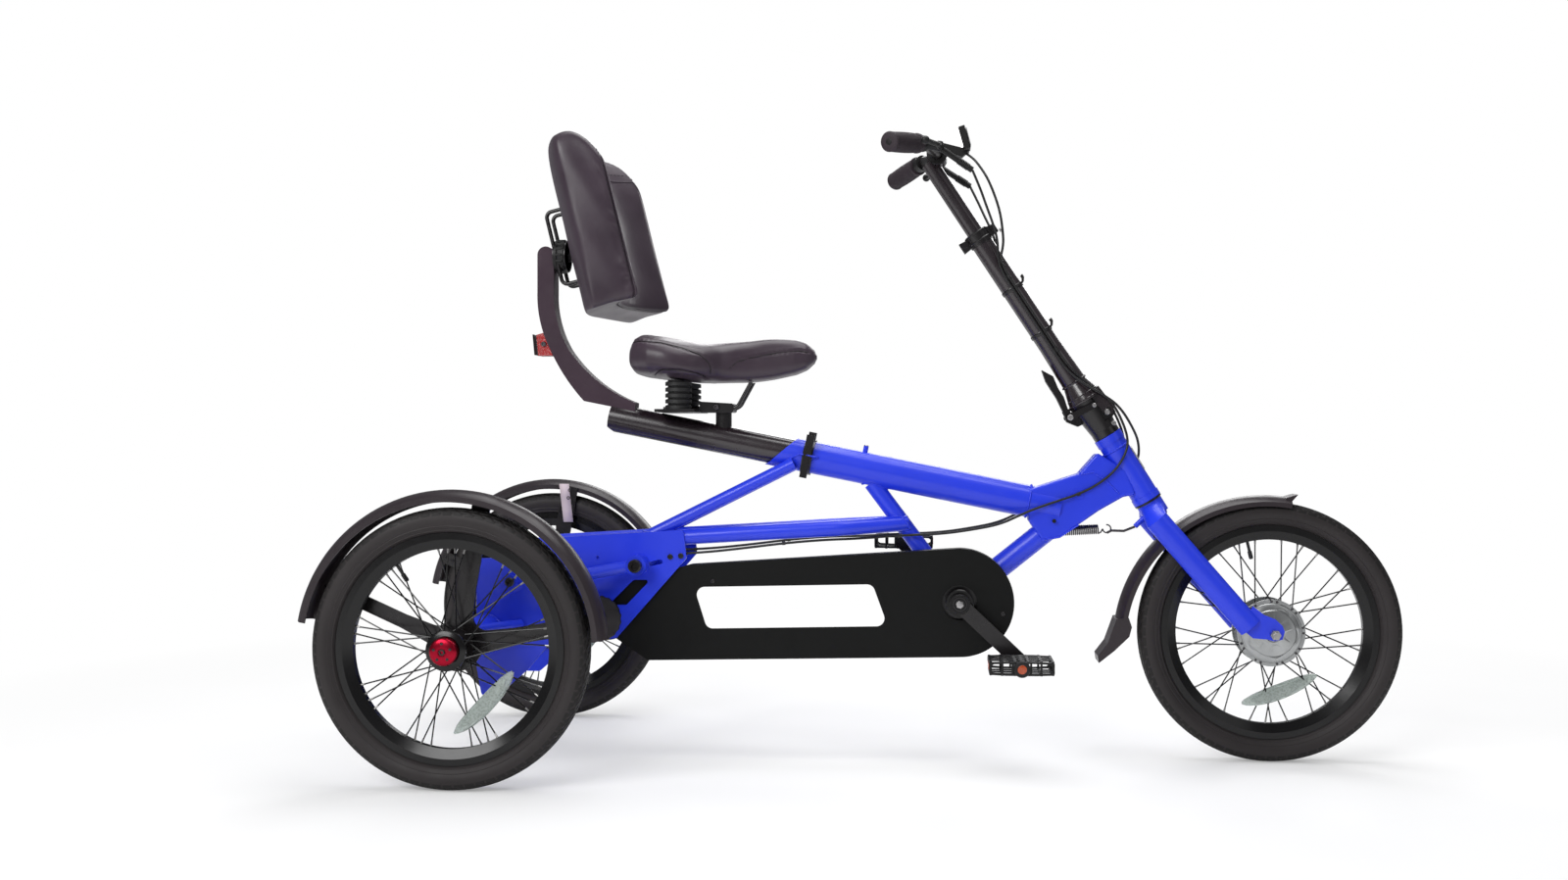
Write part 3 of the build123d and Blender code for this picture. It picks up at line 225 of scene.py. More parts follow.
def vinyl_like(name, color, rough, grain_scale, grain_depth, sheen=0.0, specular=0.5, creases=0.0006):
    n = Nodes(name)
    leather = n.bump(n.noise(60, 4), creases, 0.25, n.bump(n.cells(grain_scale), grain_depth, 0.5))
    return n.set(Base_Color=n.mottled(color, 9, 5, 0.82, 1.2, 0.72), Roughness=n.worn(rough, 18), Normal=leather,
                 Sheen_Weight=sheen, Sheen_Roughness=0.4, Sheen_Tint=(0.9, 0.75, 0.9, 1), Specular_IOR_Level=specular)


def metal(name, color, rough):
    n = Nodes(name)
    return n.set(Base_Color=n.mottled(color, 30, 5, 0.85, 1.05), Roughness=n.worn(rough, 45, 6, 1.3, 0.8),
                 Normal=n.bump(n.noise(260, 6, 0.7), 0.00002, 0.5), Metallic=1.0)


def lens_like(name, color, rough, transmission, cell=420):
    n = Nodes(name)
    prism = n.bump(n.cells(cell), 0.0006, 0.8)
    # each prism cell is darker in its middle and lighter at its rim: painted glints and shade of the prism facets
    shade = n.shades(n.cells(cell), [(0.2, tinted(color, 0.72)), (0.6, color)])
    return n.set(Base_Color=shade, Roughness=rough, Normal=prism, Transmission_Weight=transmission, IOR=1.49,
                 Coat_Weight=0.6, Coat_Roughness=0.06)


LOOKS = {
    # look: material, a slot name for new pieces which nothing here reads, CAD nodes that take it, with * for right and
    # left
    "blue": (painted("blue_gloss", (0.014, 0.042, 0.74), 0.38, 0.25, 520, 0.00005, wear=0.05, specular=0.4),
             "blue_paint",
             "main_tube head_tube down_tube seat_tube lower_stays upper_stays rear_plates swing_arm_* fork_crown "
             "fork_leg_*"),
    "black": (painted("black_satin", (0.0075, 0.006, 0.0067), 0.28, 0.15, 900, 0.000012, specular=0.45), None,
              "seat_clamp fender_bracket_* saddle_post saddle_rails backrest_bracket stem_base mast_latch "
              "height_collar handlebar rear_*_hub crank_set return_spring"),
    "tube": (painted("black_tube", (0.016, 0.0098, 0.0130), 0.25, 0.35, 900, 0.000006, specular=0.65), None,
             "seat_tube_slider mast_tube upper_stem"),
    # seat upright: black plate given a lighter mauve base, a painted broad highlight and painted purple reflection
    "upright": (painted("black_plate_painted_highlight", (0.050, 0.030, 0.043), 0.6, 0.0, 900, 0.000006, specular=0.22), None,
                "seat_upright"),
    "black_gloss": (painted("black_gloss", (0.0035, 0.0033, 0.0035), 0.22, 0.1, 800, 0.00001, specular=0.3), None,
                    "front_wheel_rim rear_*_rim"),
    "guard": (painted("black_guard", (0.0022, 0.0024, 0.0022), 0.5, grain=1000, specular=0.2), None, "chain_guard"),
    "plastic": (painted("black_plastic", (0.022, 0.0155, 0.019), 0.34, 0.0, 1100, 0.00003, specular=0.45),
                "black_plastic", "rear_fender_* front_fender"),
    "matte": (painted("matte_plastic", (0.0075, 0.007, 0.0072), 0.45, 0.0, 1200, specular=0.35), "black_plastic",
              "display brake_lever_* pedal_*"),
    "vinyl": (vinyl_like("black_vinyl", (0.042, 0.028, 0.040), 0.36, 900, 0.0001, sheen=0.04, specular=0.45), "vinyl",
              "saddle backrest"),
    "thread": (vinyl_like("dark_thread", (0.012, 0.009, 0.011), 0.6, 2500, 0.0002), "vinyl", ""),
    "tyre": (vinyl_like("tyre_rubber", (0.0085, 0.0072, 0.0072), 0.55, 1500, 0.0001, specular=0.35, creases=0.0002),
             "tyre", "front_wheel_tyre rear_*_tyre"),
    "wall": (vinyl_like("tyre_wall", (0.023, 0.019, 0.0195), 0.55, 1500, 0.0001, specular=0.35, creases=0.0002),
             "tyre", ""),
    "grip": (vinyl_like("grip_rubber", (0.036, 0.026, 0.033), 0.6, 1800, 0.0003, specular=0.3), "grip", "grip_*"),
    "silver": (metal("machined_silver", (0.42, 0.43, 0.43), 0.3), "silver", "front_wheel_hub"),
    "steel": (metal("plain_steel", (0.46, 0.45, 0.45), 0.34), "steel", "front_axle"),
    "dull_steel": (metal("dull_steel", (0.24, 0.235, 0.23), 0.4), "steel", ""),
    "dark_steel": (metal("dark_steel", (0.09, 0.085, 0.09), 0.36), "steel", "chain jackshaft pivot_bolt"),
    "red_metal": (metal("red_anodised", (0.36, 0.010, 0.028), 0.3), None, ""),
    "red_lens": (lens_like("red_lens", (0.5, 0.02, 0.02), 0.14, 0.25), "red_lens", "rear_reflector"),
    "amber_lens": (lens_like("amber_lens", (0.55, 0.075, 0.01), 0.14, 0.2), None, ""),
    "clear_lens": (lens_like("clear_lens", (0.50, 0.57, 0.53), 0.12, 0.45, 260), None, ""),
    "elastomer": (vinyl_like("black_elastomer", (0.011, 0.0105, 0.011), 0.5, 900, 0.0002), "elastomer",
                  "saddle_springs"),
    "cable": (vinyl_like("cable_sleeve", (0.007, 0.007, 0.0072), 0.4, 1600, 0.00006, creases=0.0001), "cable",
              "cable_bars cable_mast cable_stem cable_frame"),
    "screen": (painted("screen_face", (0.004, 0.0045, 0.005), 0.12, 0.6, 2000, 0.00001), "black_plastic", ""),
    "grey": (painted("grey_plastic", (0.22, 0.22, 0.225), 0.5, grain=1300), "black_plastic", ""),
    "paper": (vinyl_like("pale_tag", (0.62, 0.52, 0.57), 0.6, 1300, 0.0001), None, ""),
    "pale": (painted("pale_badge", (0.42, 0.42, 0.46), 0.4, grain=1500), None, ""),
}
for material, slot, names in LOOKS.values():
    for name in names.split():
        for side_name in ("right", "left") if "*" in name else ("",):
            for material_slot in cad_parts[name.replace("*", side_name)].material_slots:
                material_slot.material = material


# Mesh building
def circle(centre, axis, radius, steps=24, turn=0.0):
    axis = Vector(axis).normalized()
    side = axis.orthogonal().normalized()
    other = axis.cross(side)
    centre = Vector(centre)
    return [centre + (side * cos(a) + other * sin(a)) * radius for a in turns(steps, turn)]


def mirrored(half, middle=()):
    """A section from one half, what lies on its middle line, and the half turned over."""
    return [*half, *middle, *((-along, radius) for along, radius in reversed(half))]


class Form:
    """Faces of one piece, in millimetres measured from the rear axle."""

    def __init__(self):
        self.points = []
        self.faces = []

    def grid(self, rows, close_rows=False, close_columns=True, caps=False):
        """Quads between rows of equal length."""
        base, n, m = len(self.points), len(rows[0]), len(rows)
        for row in rows:
            self.points += [tuple(p) for p in row]
        for i in range(m if close_rows else m - 1):
            for j in range(n if close_columns else n - 1):
                up = (i + 1) % m * n
                low, beside = base + i * n, (j + 1) % n
                self.faces.append((low + j, low + beside, base + up + beside, base + up + j))
        if caps:
            self.faces.append(tuple(base + j for j in reversed(range(n))))
            self.faces.append(tuple(base + (m - 1) * n + j for j in range(n)))
        return self

    def lathe(self, centre, axis, profile, steps=32, caps=True, closed=False):
        """Turned form; the profile is (distance along the axis, radius)."""
        axis = Vector(axis).normalized()
        centre = Vector(centre)
        return self.grid([circle(centre + axis * along, axis, radius, steps) for along, radius in profile],
                         close_rows=closed, caps=caps)

    def ring(self, centre, axis, section, steps=96):
        """Closed turned form from a closed section."""
        return self.lathe(centre, axis, section, steps, caps=False, closed=True)

    def tube(self, path, radius, steps=10, closed=False, caps=True):
        """Round bar along a path; radius may be a list."""
        path = [Vector(p) for p in path]
        count = len(path)
        rows, side = [], None
        for i, p in enumerate(path):
            if closed:
                ahead = path[(i + 1) % count] - path[i - 1]
            else:
                ahead = path[min(i + 1, count - 1)] - path[max(i - 1, 0)]
            ahead.normalize()
            side = ahead.orthogonal() if side is None else side - ahead * side.dot(ahead)
            side.normalize()
            other = ahead.cross(side)
            r = radius[i] if isinstance(radius, list) else radius
            rows.append([p + (side * cos(a) + other * sin(a)) * r for a in turns(steps)])
        return self.grid(rows, close_rows=closed, caps=caps and not closed)

    def prism(self, outline, y0, y1):
        """Side outline of (x, z) extruded across."""
        return self.grid([[(x, y, z) for x, z in outline] for y in (y0, y1)], caps=True)

    def slab(self, corners, offset):
        """Plate between corners and the same corners moved by offset."""
        offset = Vector(offset)
        return self.grid([[Vector(c) for c in corners], [Vector(c) + offset for c in corners]], caps=True)

    def block(self, centre, size):
        """Box round its centre."""
        x, y, z = (c - s / 2 for c, s in zip(centre, size))
        wide, deep, high = size
        return self.slab([(x, y, z), (x + wide, y, z), (x + wide, y + deep, z), (x, y + deep, z)], (0, 0, high))

    def make(self, name, body, look, sharp=35, bevel=0.0):
        mesh = bpy.data.meshes.new(name)
        mesh.from_pydata([at(*p) for p in self.points], [], self.faces)
        material, slot, _ = LOOKS[look]
        mesh.materials.append(material)
        build = bmesh.new()
        build.from_mesh(mesh)
        bmesh.ops.remove_doubles(build, verts=build.verts, dist=0.000002)
        bmesh.ops.recalc_face_normals(build, faces=build.faces)
        build.to_mesh(mesh)
        build.free()
        mesh.shade_smooth()
        mesh.set_sharp_from_angle(angle=radians(sharp))
        piece = in_scene(name, mesh)
        if bevel:
            edge = piece.modifiers.new("edges", "BEVEL")
            edge.width = bevel / 1000
            edge.segments = 2
            edge.limit_method = "ANGLE"
            edge.angle_limit = radians(sharp)
        carry(piece, body)
        return piece


def wheel_point(x, y, radius, angle):
    """Point of a wheel; angles run up from forward."""
    return Vector((x + radius * cos(angle), y, TYRE_R + radius * sin(angle)))


# Tyres: carcass with ribbed walls and shallow blocks
TYRE_HALF = [
    # (distance from the middle plane, radius)
    (8.5, 203), (12.5, 203), (12.5, 209.5), (15.5, 210.5), (18.6, 213.5), (18.4, 214.6), (20.2, 217), (22.6, 221),
    (22.2, 222.2), (24.6, 226.5), (25.7, 231), (25.6, 235.5), (24.6, 240), (23.2, 243.6), (20.6, 247), (17, 249.8),
    (12, 251.6), (6, 252.5), (0, 252.8),
]


def surface_radius(y):
    line = [p for p in TYRE_HALF if p[1] >= 235]
    y = abs(y)
    for (y1, r1), (y0, r0) in zip(line, line[1:]):
        if y0 <= y <= y1:
            return r0 + (r1 - r0) * (y - y0) / (y1 - y0)
    return line[0][1]


TREAD_ROWS = [(0, 2.4, 2.05, 0.0, 0.0)] + [
    # middle, half width, half length in degrees, slant, phase
    (side * middle, half_w, half_len, side * slant, phase) for middle, half_w, half_len, slant, phase in (
        (6.4, 2.7, 1.75, -0.10, 0.5), (13.2, 2.9, 1.9, -0.14, 0.0), (19.2, 2.0, 1.7, -0.12, 0.5),
        (23.2, 1.2, 1.9, 0.0, 0.0)) for side in BOTH]
PITCHES = 76
BLOCK_CORNERS = ((-1, -1), (-1, 0), (-1, 1), (0, 1), (1, 1), (1, 0), (1, -1), (0, -1))


def tyre(name, body, x, middle_y):
    section = mirrored(TYRE_HALF[:-1], TYRE_HALF[-1:])
    section += mirrored([(-8.5, 209), (-22.3, 230), (-20.5, 240), (-12, 247.5)], [(0, 249)])
    carcass = Form().ring((x, middle_y, TYRE_R), Y, section, 160).make(f"{name}_carcass", body, "wall", sharp=28)
    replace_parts(carcass, f"{name}_tyre")
    form = Form()
    for middle, half_w, half_len, slant, phase in TREAD_ROWS:
        for k in range(PITCHES):
            turn = 360 * (k + phase) / PITCHES
            rows = []
            for grow, lift in ((1.0, -0.9), (1.0, 0.6), (0.86, 1.15)):
                row = []
                for u, v in BLOCK_CORNERS:
                    y = middle + half_w * grow * u
                    a = radians(turn + half_len * grow * v + slant * half_w * u * 2)
                    row.append(wheel_point(x, middle_y + y, surface_radius(y) + lift, a))
                rows.append(row)
            form.grid(rows)
            last = len(form.points)
            form.faces.append(tuple(range(last - len(BLOCK_CORNERS), last)))
    form.make(f"{name}_tread", body, "tyre", sharp=28)


WHEELS = [
    # name, body, x, y, spoke circle in the hub, flange places, lacing lead, valve angle, reflector side and angle
    ("front_wheel", "front_wheel", WHEELBASE, 0, 61, (-25, 25), 22, 103, -1, -80.4),
    ("rear_right", "rear_wheel_right", 0, -HALF_TRACK, 30, (-29, 19), 38, 124, -1, -55.8),
    ("rear_left", "rear_wheel_left", 0, HALF_TRACK, 30, (-19, 29), 38, 124, 1, -55.8),
]
SPOKES_A_WAY = 9
SPOKE_STEP = 360 / SPOKES_A_WAY
SLEEVE_R = 1.36
REFLECTOR_R = 118
REFLECTOR_LEAN = 12.3
REFLECTOR_ROWS = 25
for name, body, x, y, hub_r, flanges, lead_deg, valve, side, reflector in WHEELS:
    tyre(name, body, x, y)
    ends, wires, heads = Form(), Form(), Form()
    for k, flange_y in enumerate(flanges):
        out = 1 if flange_y > 0 else -1
        for lead in (-1, 1):
            for i in range(SPOKES_A_WAY):
                turn = k * 10 + (lead + 1) * 5 + i * SPOKE_STEP
                inner = wheel_point(x, y + flange_y + lead * 2.2 * out, hub_r, radians(turn))
                outer = wheel_point(x, y, RIM_INNER_R + 3, radians(turn + lead * lead_deg))
                toward = (inner - outer).normalized()
                ends.lathe(outer, toward, [(-2, 2.3), (4, 2.3), (5, 1.9), (11, 1.75), (11.6, 1.4)], 8)
                wires.lathe(outer, toward, [(4, SLEEVE_R), ((inner - outer).length, SLEEVE_R)], 8)
                heads.lathe(wheel_point(x, y + flange_y + out * 1.5, hub_r, radians(turn)), (0, out, 0),
                            [(0, 2.6), (1.4, 2.5), (2.2, 1.6)], 8)
    ends.make(f"{name}_nipples", body, "dull_steel")
    wires.make(f"{name}_spokes", body, "black_gloss")
    heads.make(f"{name}_spoke_heads", body, "dark_steel" if name == "front_wheel" else "steel")
    place, inward = wheel_point(x, y, RIM_INNER_R + 3, radians(valve)), wheel_point(x, y, 143, radians(valve))
    Form().lathe(place, inward - place, [(0, 4.6), (3, 4.6), (4, 3.0), (22, 3.0), (22.5, 4.2), (35, 4.2), (38, 3.2)],
                 14).make(f"{name}_valve", body, "cable")
    # Spoke reflector: long leaf of clear plastic across the spokes
    centre = wheel_point(x, y + side * 12, REFLECTOR_R, radians(reflector))
    lean = radians(reflector + REFLECTOR_LEAN)
    along, across = Vector((-sin(lean), 0, cos(lean))), Vector((cos(lean), 0, sin(lean)))
    for end, reach, wide, y_near, y_far in (("", 78, 15, -3, 3), ("_band", 60, 10, 3, 4.4)):
        rows = []
        y_mid = (y_near + y_far) / 2
        for i in range(REFLECTOR_ROWS):
            s = -0.985 + 1.97 * i / (REFLECTOR_ROWS - 1)
            w = wide * (1 - abs(s) ** 2.2) ** 0.55
            middle = centre + along * reach * s - across * 5 * s * s
            rows.append([middle + across * w * u + Vector((0, side * v, 0)) for u, v in (
                (-1, y_near), (-1, y_mid), (-0.8, y_far), (0, y_far + 0.4), (0.8, y_far), (1, y_mid), (1, y_near),
                (0, y_near))])
        Form().grid(rows, caps=True).make(f"{name}_reflector{end}", body, "clear_lens")

# Front hub: cover pressed into a five-pointed form, with a raised rim
COVER_R, COVER_HOLE_R, COVER_ROWS = 55, 18, 19
for name, side in SIDES:
    rows = []
    for i in range(COVER_ROWS):
        r = COVER_R - i * 2.05
        t = (r - COVER_HOLE_R) / (COVER_R - COVER_HOLE_R)
        face = 30.5 + 11.5 * (1 - t) ** 0.75
        pressed = 4.4 * max(0.0, sin(pi * clamp((t - 0.06) / 0.84))) ** 0.9
        rows.append([(WHEELBASE + r * cos(a), side * (face - pressed * max(0.0, cos(5 * a + 0.6)) ** 0.8),
                      TYRE_R + r * sin(a)) for a in turns(120)])
    Form().grid(rows).make(f"hub_cover_{name}", "front_wheel", "silver", sharp=60)
    step = Form()
    step.lathe((WHEELBASE, side * 26, TYRE_R), (0, side, 0),
               [(0, 58.5), (3.4, 57.8), (4.6, 56.4), (4.6, 54.6), (3.4, 54)], 96, caps=False)
    step.lathe((WHEELBASE, side * 38, TYRE_R), (0, side, 0),
               [(0, 21), (4.2, 20.4), (5.4, 18.6), (5.6, 13), (8.4, 12.4), (8.4, 6.4)], 48, caps=False)
    step.make(f"hub_steps_{name}", "front_wheel", "silver")

# Rear hubs: red end caps whose five dimples are shown by black discs of painted shade, and a black dust ring
for name, side in SIDES:
    body, y = f"rear_wheel_{name}", side * HALF_TRACK
    Form().lathe((0, y, TYRE_R), (0, side, 0), [(33, 25.2), (45.4, 25.2), (47, 24.6), (48.8, 22.4), (50.9, 17),
                                                (51.9, 9), (51.6, 7.2), (50.2, 6.6)], 64).make(
        f"cap_{name}", body, "red_metal")
    pit_shades_and_nut = Form()
    # black discs in the five dimples: painted shade; the six-sided piece in the middle is the nut
    for a in turns(5, 0.35):
        pit_shades_and_nut.lathe((15.5 * cos(a), y + side * 50.7, TYRE_R + 15.5 * sin(a)), (0, side, 0),
                   [(0, 2.9), (0.9, 2.7), (1.0, 1.6)], 16)
    pit_shades_and_nut.lathe((0, y + side * 48.6, TYRE_R), (0, side, 0),
               [(0, 6.2), (3.2, 6.2), (3.8, 5.4), (3.8, 3.2), (1.5, 3.0)], 6)
    pit_shades_and_nut.make(f"cap_pits_{name}", body, "black")
    Form().lathe((0, y, TYRE_R), (0, side, 0), [(26.5, 36.4), (27, 36.8), (31, 36.8), (32.2, 35.6), (34, 30), (35, 27)],
                 64, caps=False).make(f"flange_{name}", body, "black_gloss")


# Welds: beads where round tubes meet
def meeting_line(place, direction, radius, other_place, other_direction, other_radius, steps=80):
    """Closed line where a tube, followed from place along direction, first meets another tube."""
    d, e = Vector(direction).normalized(), Vector(other_direction).normalized()
    line = []
    for start in circle(place, d, radius, steps):
        w = start - Vector(other_place)
        w -= e * w.dot(e)
        c = d - e * d.dot(e)
        a, b = c.dot(c), 2 * w.dot(c)
        root = max(0.0, b * b - 4 * a * (w.dot(w) - other_radius ** 2))
        line.append(start + d * ((-b - sqrt(root)) / (2 * a)))
    return line


def weld(form, line, closed=True):
    """A bead along the line, which swells and sinks in weld ripples."""
    fine = []
    for p, q in zip(line, line[1:] + line[:1] if closed else line[1:]):
        p, q = Vector(p), Vector(q)
        count = max(1, ceil((q - p).length / 1.1))
        fine += [p.lerp(q, k / count) for k in range(count)]
    form.tube(fine, [1.9 * (1 + 0.22 * sin(pi * k / 2)) for k in range(len(fine))], 6, closed)


bb_top = Vector((1140, 0, 492))
seat_top = Vector((742, 0, 544))
bb = Vector((BB[0], 0, BB[1]))
welds = Form()
weld(welds, meeting_line(bb_top, bb - bb_top, 22.5, bb, Y, 22))
weld(welds, meeting_line(seat_top, bb - seat_top, 17, bb, Y, 22))
weld(welds, meeting_line(bb, seat_top - bb, 17, main(0), MAIN_AXIS, 32))
weld(welds, circle(main(417), MAIN_AXIS, 32.2, 80))
weld(welds, circle(head(118), HEAD_AXIS, 27.2, 60)[8:52], closed=False)
for side in BOTH:
    upper_low, upper_top = Vector((305, side * STAY_Y, 441)), Vector((588, side * 30, 582))
    weld(welds, meeting_line(upper_low, upper_top - upper_low, 12.5, main(0), MAIN_AXIS, 32))
    stay_a, stay_b = Vector((70, side * STAY_Y, 417.7)), Vector((690, side * STAY_Y, 455.6))
    weld(welds, meeting_line(upper_top, upper_low - upper_top, 12.5, stay_a, stay_b - stay_a, 15.5))
    weld(welds, meeting_line(stay_b, (122, side * -39, 7.5), 15.5, bb, seat_top - bb, 17))
    for line in ([(1078, 432), (1112, 438), (1150, 463)], [(1152, 561), (1178, 566), (1206, 546), (1228, 524)]):
        weld(welds, [(x, side * NECK_Y, z) for x, z in line], closed=False)
welds.make("frame_welds", "frame", "blue", sharp=80)
for name, side in SIDES:
    arm = Form()
    pivot = Vector((284, side * 84, 383))
    low = Vector((40, side * 146, 340))
    weld(arm, circle((0, side * 312, TYRE_R), Y, 41, 80))
    weld(arm, circle((0, side * 157.5, TYRE_R), Y, 38.6, 80))
    weld(arm, meeting_line(low, pivot - low, 12, pivot, Y, 20))
    arm.make(f"arm_welds_{name}", "frame", "blue", sharp=80)
crown = Form()
for side in BOTH:
    leg_axis = Vector((1296, side * 52, 474)) - head(-16, 0, side * 6)
    weld(crown, circle(head(-30, 0, side * 12), leg_axis, 19, 50)[4:30], closed=False)
crown.make("fork_welds", "steering", "blue", sharp=80)


# Bolts
def bolt(form, place, axis, r, high, kind="socket"):
    if kind == "hex":
        form.lathe(place, axis, [(0, r), (high * 0.85, r), (high, r * 0.82)], 6)
        form.lathe(place, axis, [(high * 0.9, r * 0.5), (high * 1.25, r * 0.46)], 12)
    else:
        form.lathe(place, axis, [(0, r), (high * 0.75, r), (high, r * 0.82), (high, r * 0.52),
                                 (high * 0.35, r * 0.48)], 18)


BOLTS = {
    # body, look: sides, (x, distance from the middle plane, z), radius, height, kind
    ("frame", "black"): [
        (BOTH, (284, 109, 383), 13, 7), (BOTH, (50, 158, 355), 9, 6), (BOTH, (346, PLATE_Y, 398), 5.4, 3.4),
        (BOTH, (367, PLATE_Y, 400), 5.4, 3.4), (RIGHT, (236, PLATE_Y, 300), 4.6, 3),
        (RIGHT, (212, PLATE_Y, 268), 4.6, 3), (RIGHT, (430, 60, 350), 4.2, 2.4), (RIGHT, (1000, 60, 290), 4.2, 2.4),
        (RIGHT, (1101, 31, 470), 4, 3)],
    ("steering", "steel"): [
        (BOTH, (1205, 22, 684), 5.6, 4), (BOTH, (1218, 20, 662), 5.0, 4),
        (BOTH, (1132, 41, 673), 5.8, 3), (BOTH, (1178, 41, 697), 4.0, 2.4),
        (BOTH, (WHEELBASE, 65, TYRE_R), 7.2, 6, "hex")],
    ("cranks", "steel"): [(BOTH, (BB[0], 90.5, BB[1]), 7.4, 3.2, "hex")],
    ("seat", "dark_steel"): [(BOTH, (432, 27, 695), 6, 5), (BOTH, (78, 19, 823), 5, 3)],
}
for (body, look), rows in BOLTS.items():
    form = Form()
    for sides, (x, y, z), *shape in rows:
        for side in sides:
            bolt(form, (x, side * y, z), (0, side, 0), *shape)
    form.make(f"bolts_{body}_{look}", body, look)


# Saddle: sewn cover over foam, wide behind and narrow in front
SADDLE_X = [266, 268, 274, 288, 310, 345, 380, 410, 450, 500, 545, 590, 612, 626, 631]
SADDLE_HALF = [70, 86, 97, 110, 124, 131, 123, 106, 66, 47, 40, 36, 31, 21, 12]
SADDLE_TOP = [806, 822, 834, 841, 838.5, 833, 826, 821.5, 824, 828.5, 832, 830, 823, 811, 801]
SADDLE_LOW = [778, 768, 760, 756, 753, 749, 745.5, 744, 743.5, 745, 750, 760, 769, 781, 790]


def table(xs, ys, x):
    """Smooth reading between the rows of a table."""
    for i in range(len(xs) - 1):
        if x <= xs[i + 1] or i == len(xs) - 2:
            t = (x - xs[i]) / (xs[i + 1] - xs[i])
            before, after = ys[max(i - 1, 0)], ys[min(i + 2, len(ys) - 1)]
            m0 = (ys[i + 1] - before) / 2 if i else ys[1] - ys[0]
            m1 = (after - ys[i]) / 2
            t2, t3 = t * t, t * t * t
            return ((2 * t3 - 3 * t2 + 1) * ys[i] + (t3 - 2 * t2 + t) * m0 + (3 * t2 - 2 * t3) * ys[i + 1]
                    + (t3 - t2) * m1)
    return ys[-1]


SADDLE_SEAMS = [
    # side view (x, z) lines of the sewn seams, the same on both sides
    [(274, 822), (291, 823), (336, 819), (379, 808), (410, 796), (426, 781), (430, 768), (428, 757)],
    [(318, 757), (339, 765), (375, 765), (405, 759), (420, 751)],
    [(462, 770), (478, 784), (504, 792), (554, 802), (599, 806), (618, 803)],
]


def to_line(x, z, line):
    """Distance from a side-view point to a line, and how far along it that is."""
    best, run, place = 1e9, 0.0, 0.0
    for (x0, z0), (x1, z1) in zip(line, line[1:]):
        dx, dz = x1 - x0, z1 - z0
        t = clamp(((x - x0) * dx + (z - z0) * dz) / (dx * dx + dz * dz))
        d = hypot(x - x0 - t * dx, z - z0 - t * dz)
        if d < best:
            best, place = d, run + t * hypot(dx, dz)
        run += hypot(dx, dz)
    return best, place


def saddle_section(x):
    """Half width, top, lowest and widest level, how far x is into the nose, and the outline's power."""
    w, top, low = (table(SADDLE_X, column, x) for column in (SADDLE_HALF, SADDLE_TOP, SADDLE_LOW))
    nose = clamp((x - 430) / 60)
    return w, top, low, low + (top - low) * 0.42, nose, 2 / (2.5 + 0.4 * nose)


def saddle_row(x):
    w, top, low, middle, nose, power = saddle_section(x)
    row = []
    for a in turns(96):
        c, s = cos(a), sin(a)
        y = w * (abs(c) ** power) * (1 if c > 0 else -1)
        rise = (top - middle) if s > 0 else (middle - low)
        z = middle + rise * (abs(s) ** (power if s > 0 else power * 0.8)) * (1 if s > 0 else -1)
        if s < 0:
            y *= 1 - 0.13 * (1 - nose) * abs(s) ** 1.5
        if s > 0:
            z -= 5.5 * exp(-(y / 11) ** 2) * (1 - nose * 0.7) * clamp((x - 290) / 60)
        outward = Vector((0, c / max(w, 1), s / max(rise, 1))).normalized()
        lift = 0.0
        if abs(c) > 0.25:
            for line in SADDLE_SEAMS:
                d, run = to_line(x, z, line)
                lift += -2.0 * exp(-(d / 2.0) ** 2) + 0.9 * exp(-((d - 5) / 3.2) ** 2)
                lift += 0.35 * sin(run * 0.62) * exp(-(d / 8) ** 2)
        lift += 0.5 * sin(x * 0.043 + y * 0.05) * sin(z * 0.07 + x * 0.02)
        row.append(Vector((x, y, z)) + outward * lift)
    return row


saddle = Form()
SADDLE_ROWS = 130
stations = [SADDLE_X[0] + (SADDLE_X[-1] - SADDLE_X[0]) * (0.5 - 0.5 * cos(pi * (i + 0.5) / SADDLE_ROWS))
            for i in range(SADDLE_ROWS)]
saddle.grid([saddle_row(x) for x in stations], caps=True)
saddle_piece = saddle.make("saddle_cover", "seat", "vinyl", sharp=75)
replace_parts(saddle_piece, "saddle")


def saddle_side(x, z, side):
    """Point of the saddle's side at a side-view place."""
    w, top, low, middle, nose, power = saddle_section(x)
    rise = (top - middle) if z > middle else (middle - low)
    part = min(0.995, abs(z - middle) / rise)
    s = part ** (1 / (power if z > middle else power * 0.8))
    y = w * (1 - s * s) ** (power / 2)
    if z < middle:
        y *= 1 - 0.13 * (1 - nose) * s ** 1.5
    return Vector((x, side * y, z))


threads = Form()
for side in BOTH:
    for line in SADDLE_SEAMS:
        fine = []
        for (x0, z0), (x1, z1) in zip(line, line[1:]):
            count = max(1, int(hypot(x1 - x0, z1 - z0) / 2.2))
            fine += [saddle_side(x0 + (x1 - x0) * k / count, z0 + (z1 - z0) * k / count, side)
                     for k in range(count)]
        threads.tube([p + Vector((0, -side * 0.9, 0)) for p in fine], 0.9, 6)
threads.make("saddle_seams", "seat", "thread")

# Backrest: padded shell curved round the rider, with a welted edge and puckered lower sides
BACK_R = 368
BACK_T = 75
BACK_HALF_ANGLE = radians(29.3)
BACK_LEAN = radians(13.8)
BACK_LOW = Vector((171, 0, 874))
BACK_OUT = Vector((cos(BACK_LEAN), 0, sin(BACK_LEAN)))
BACK_UP = Vector((-sin(BACK_LEAN), 0, cos(BACK_LEAN)))
BACK_HALF = 163
BACK_WING = 66
BACK_CUTS = 62
# How far the top edge is above BACK_LOW, from the rear face to the rider's
BACK_TOP = ([0, 0.05, 0.14, 0.33, 0.52, 0.72, 0.88, 1.0], [322, 334, 342, 346, 341, 325, 300, 268])


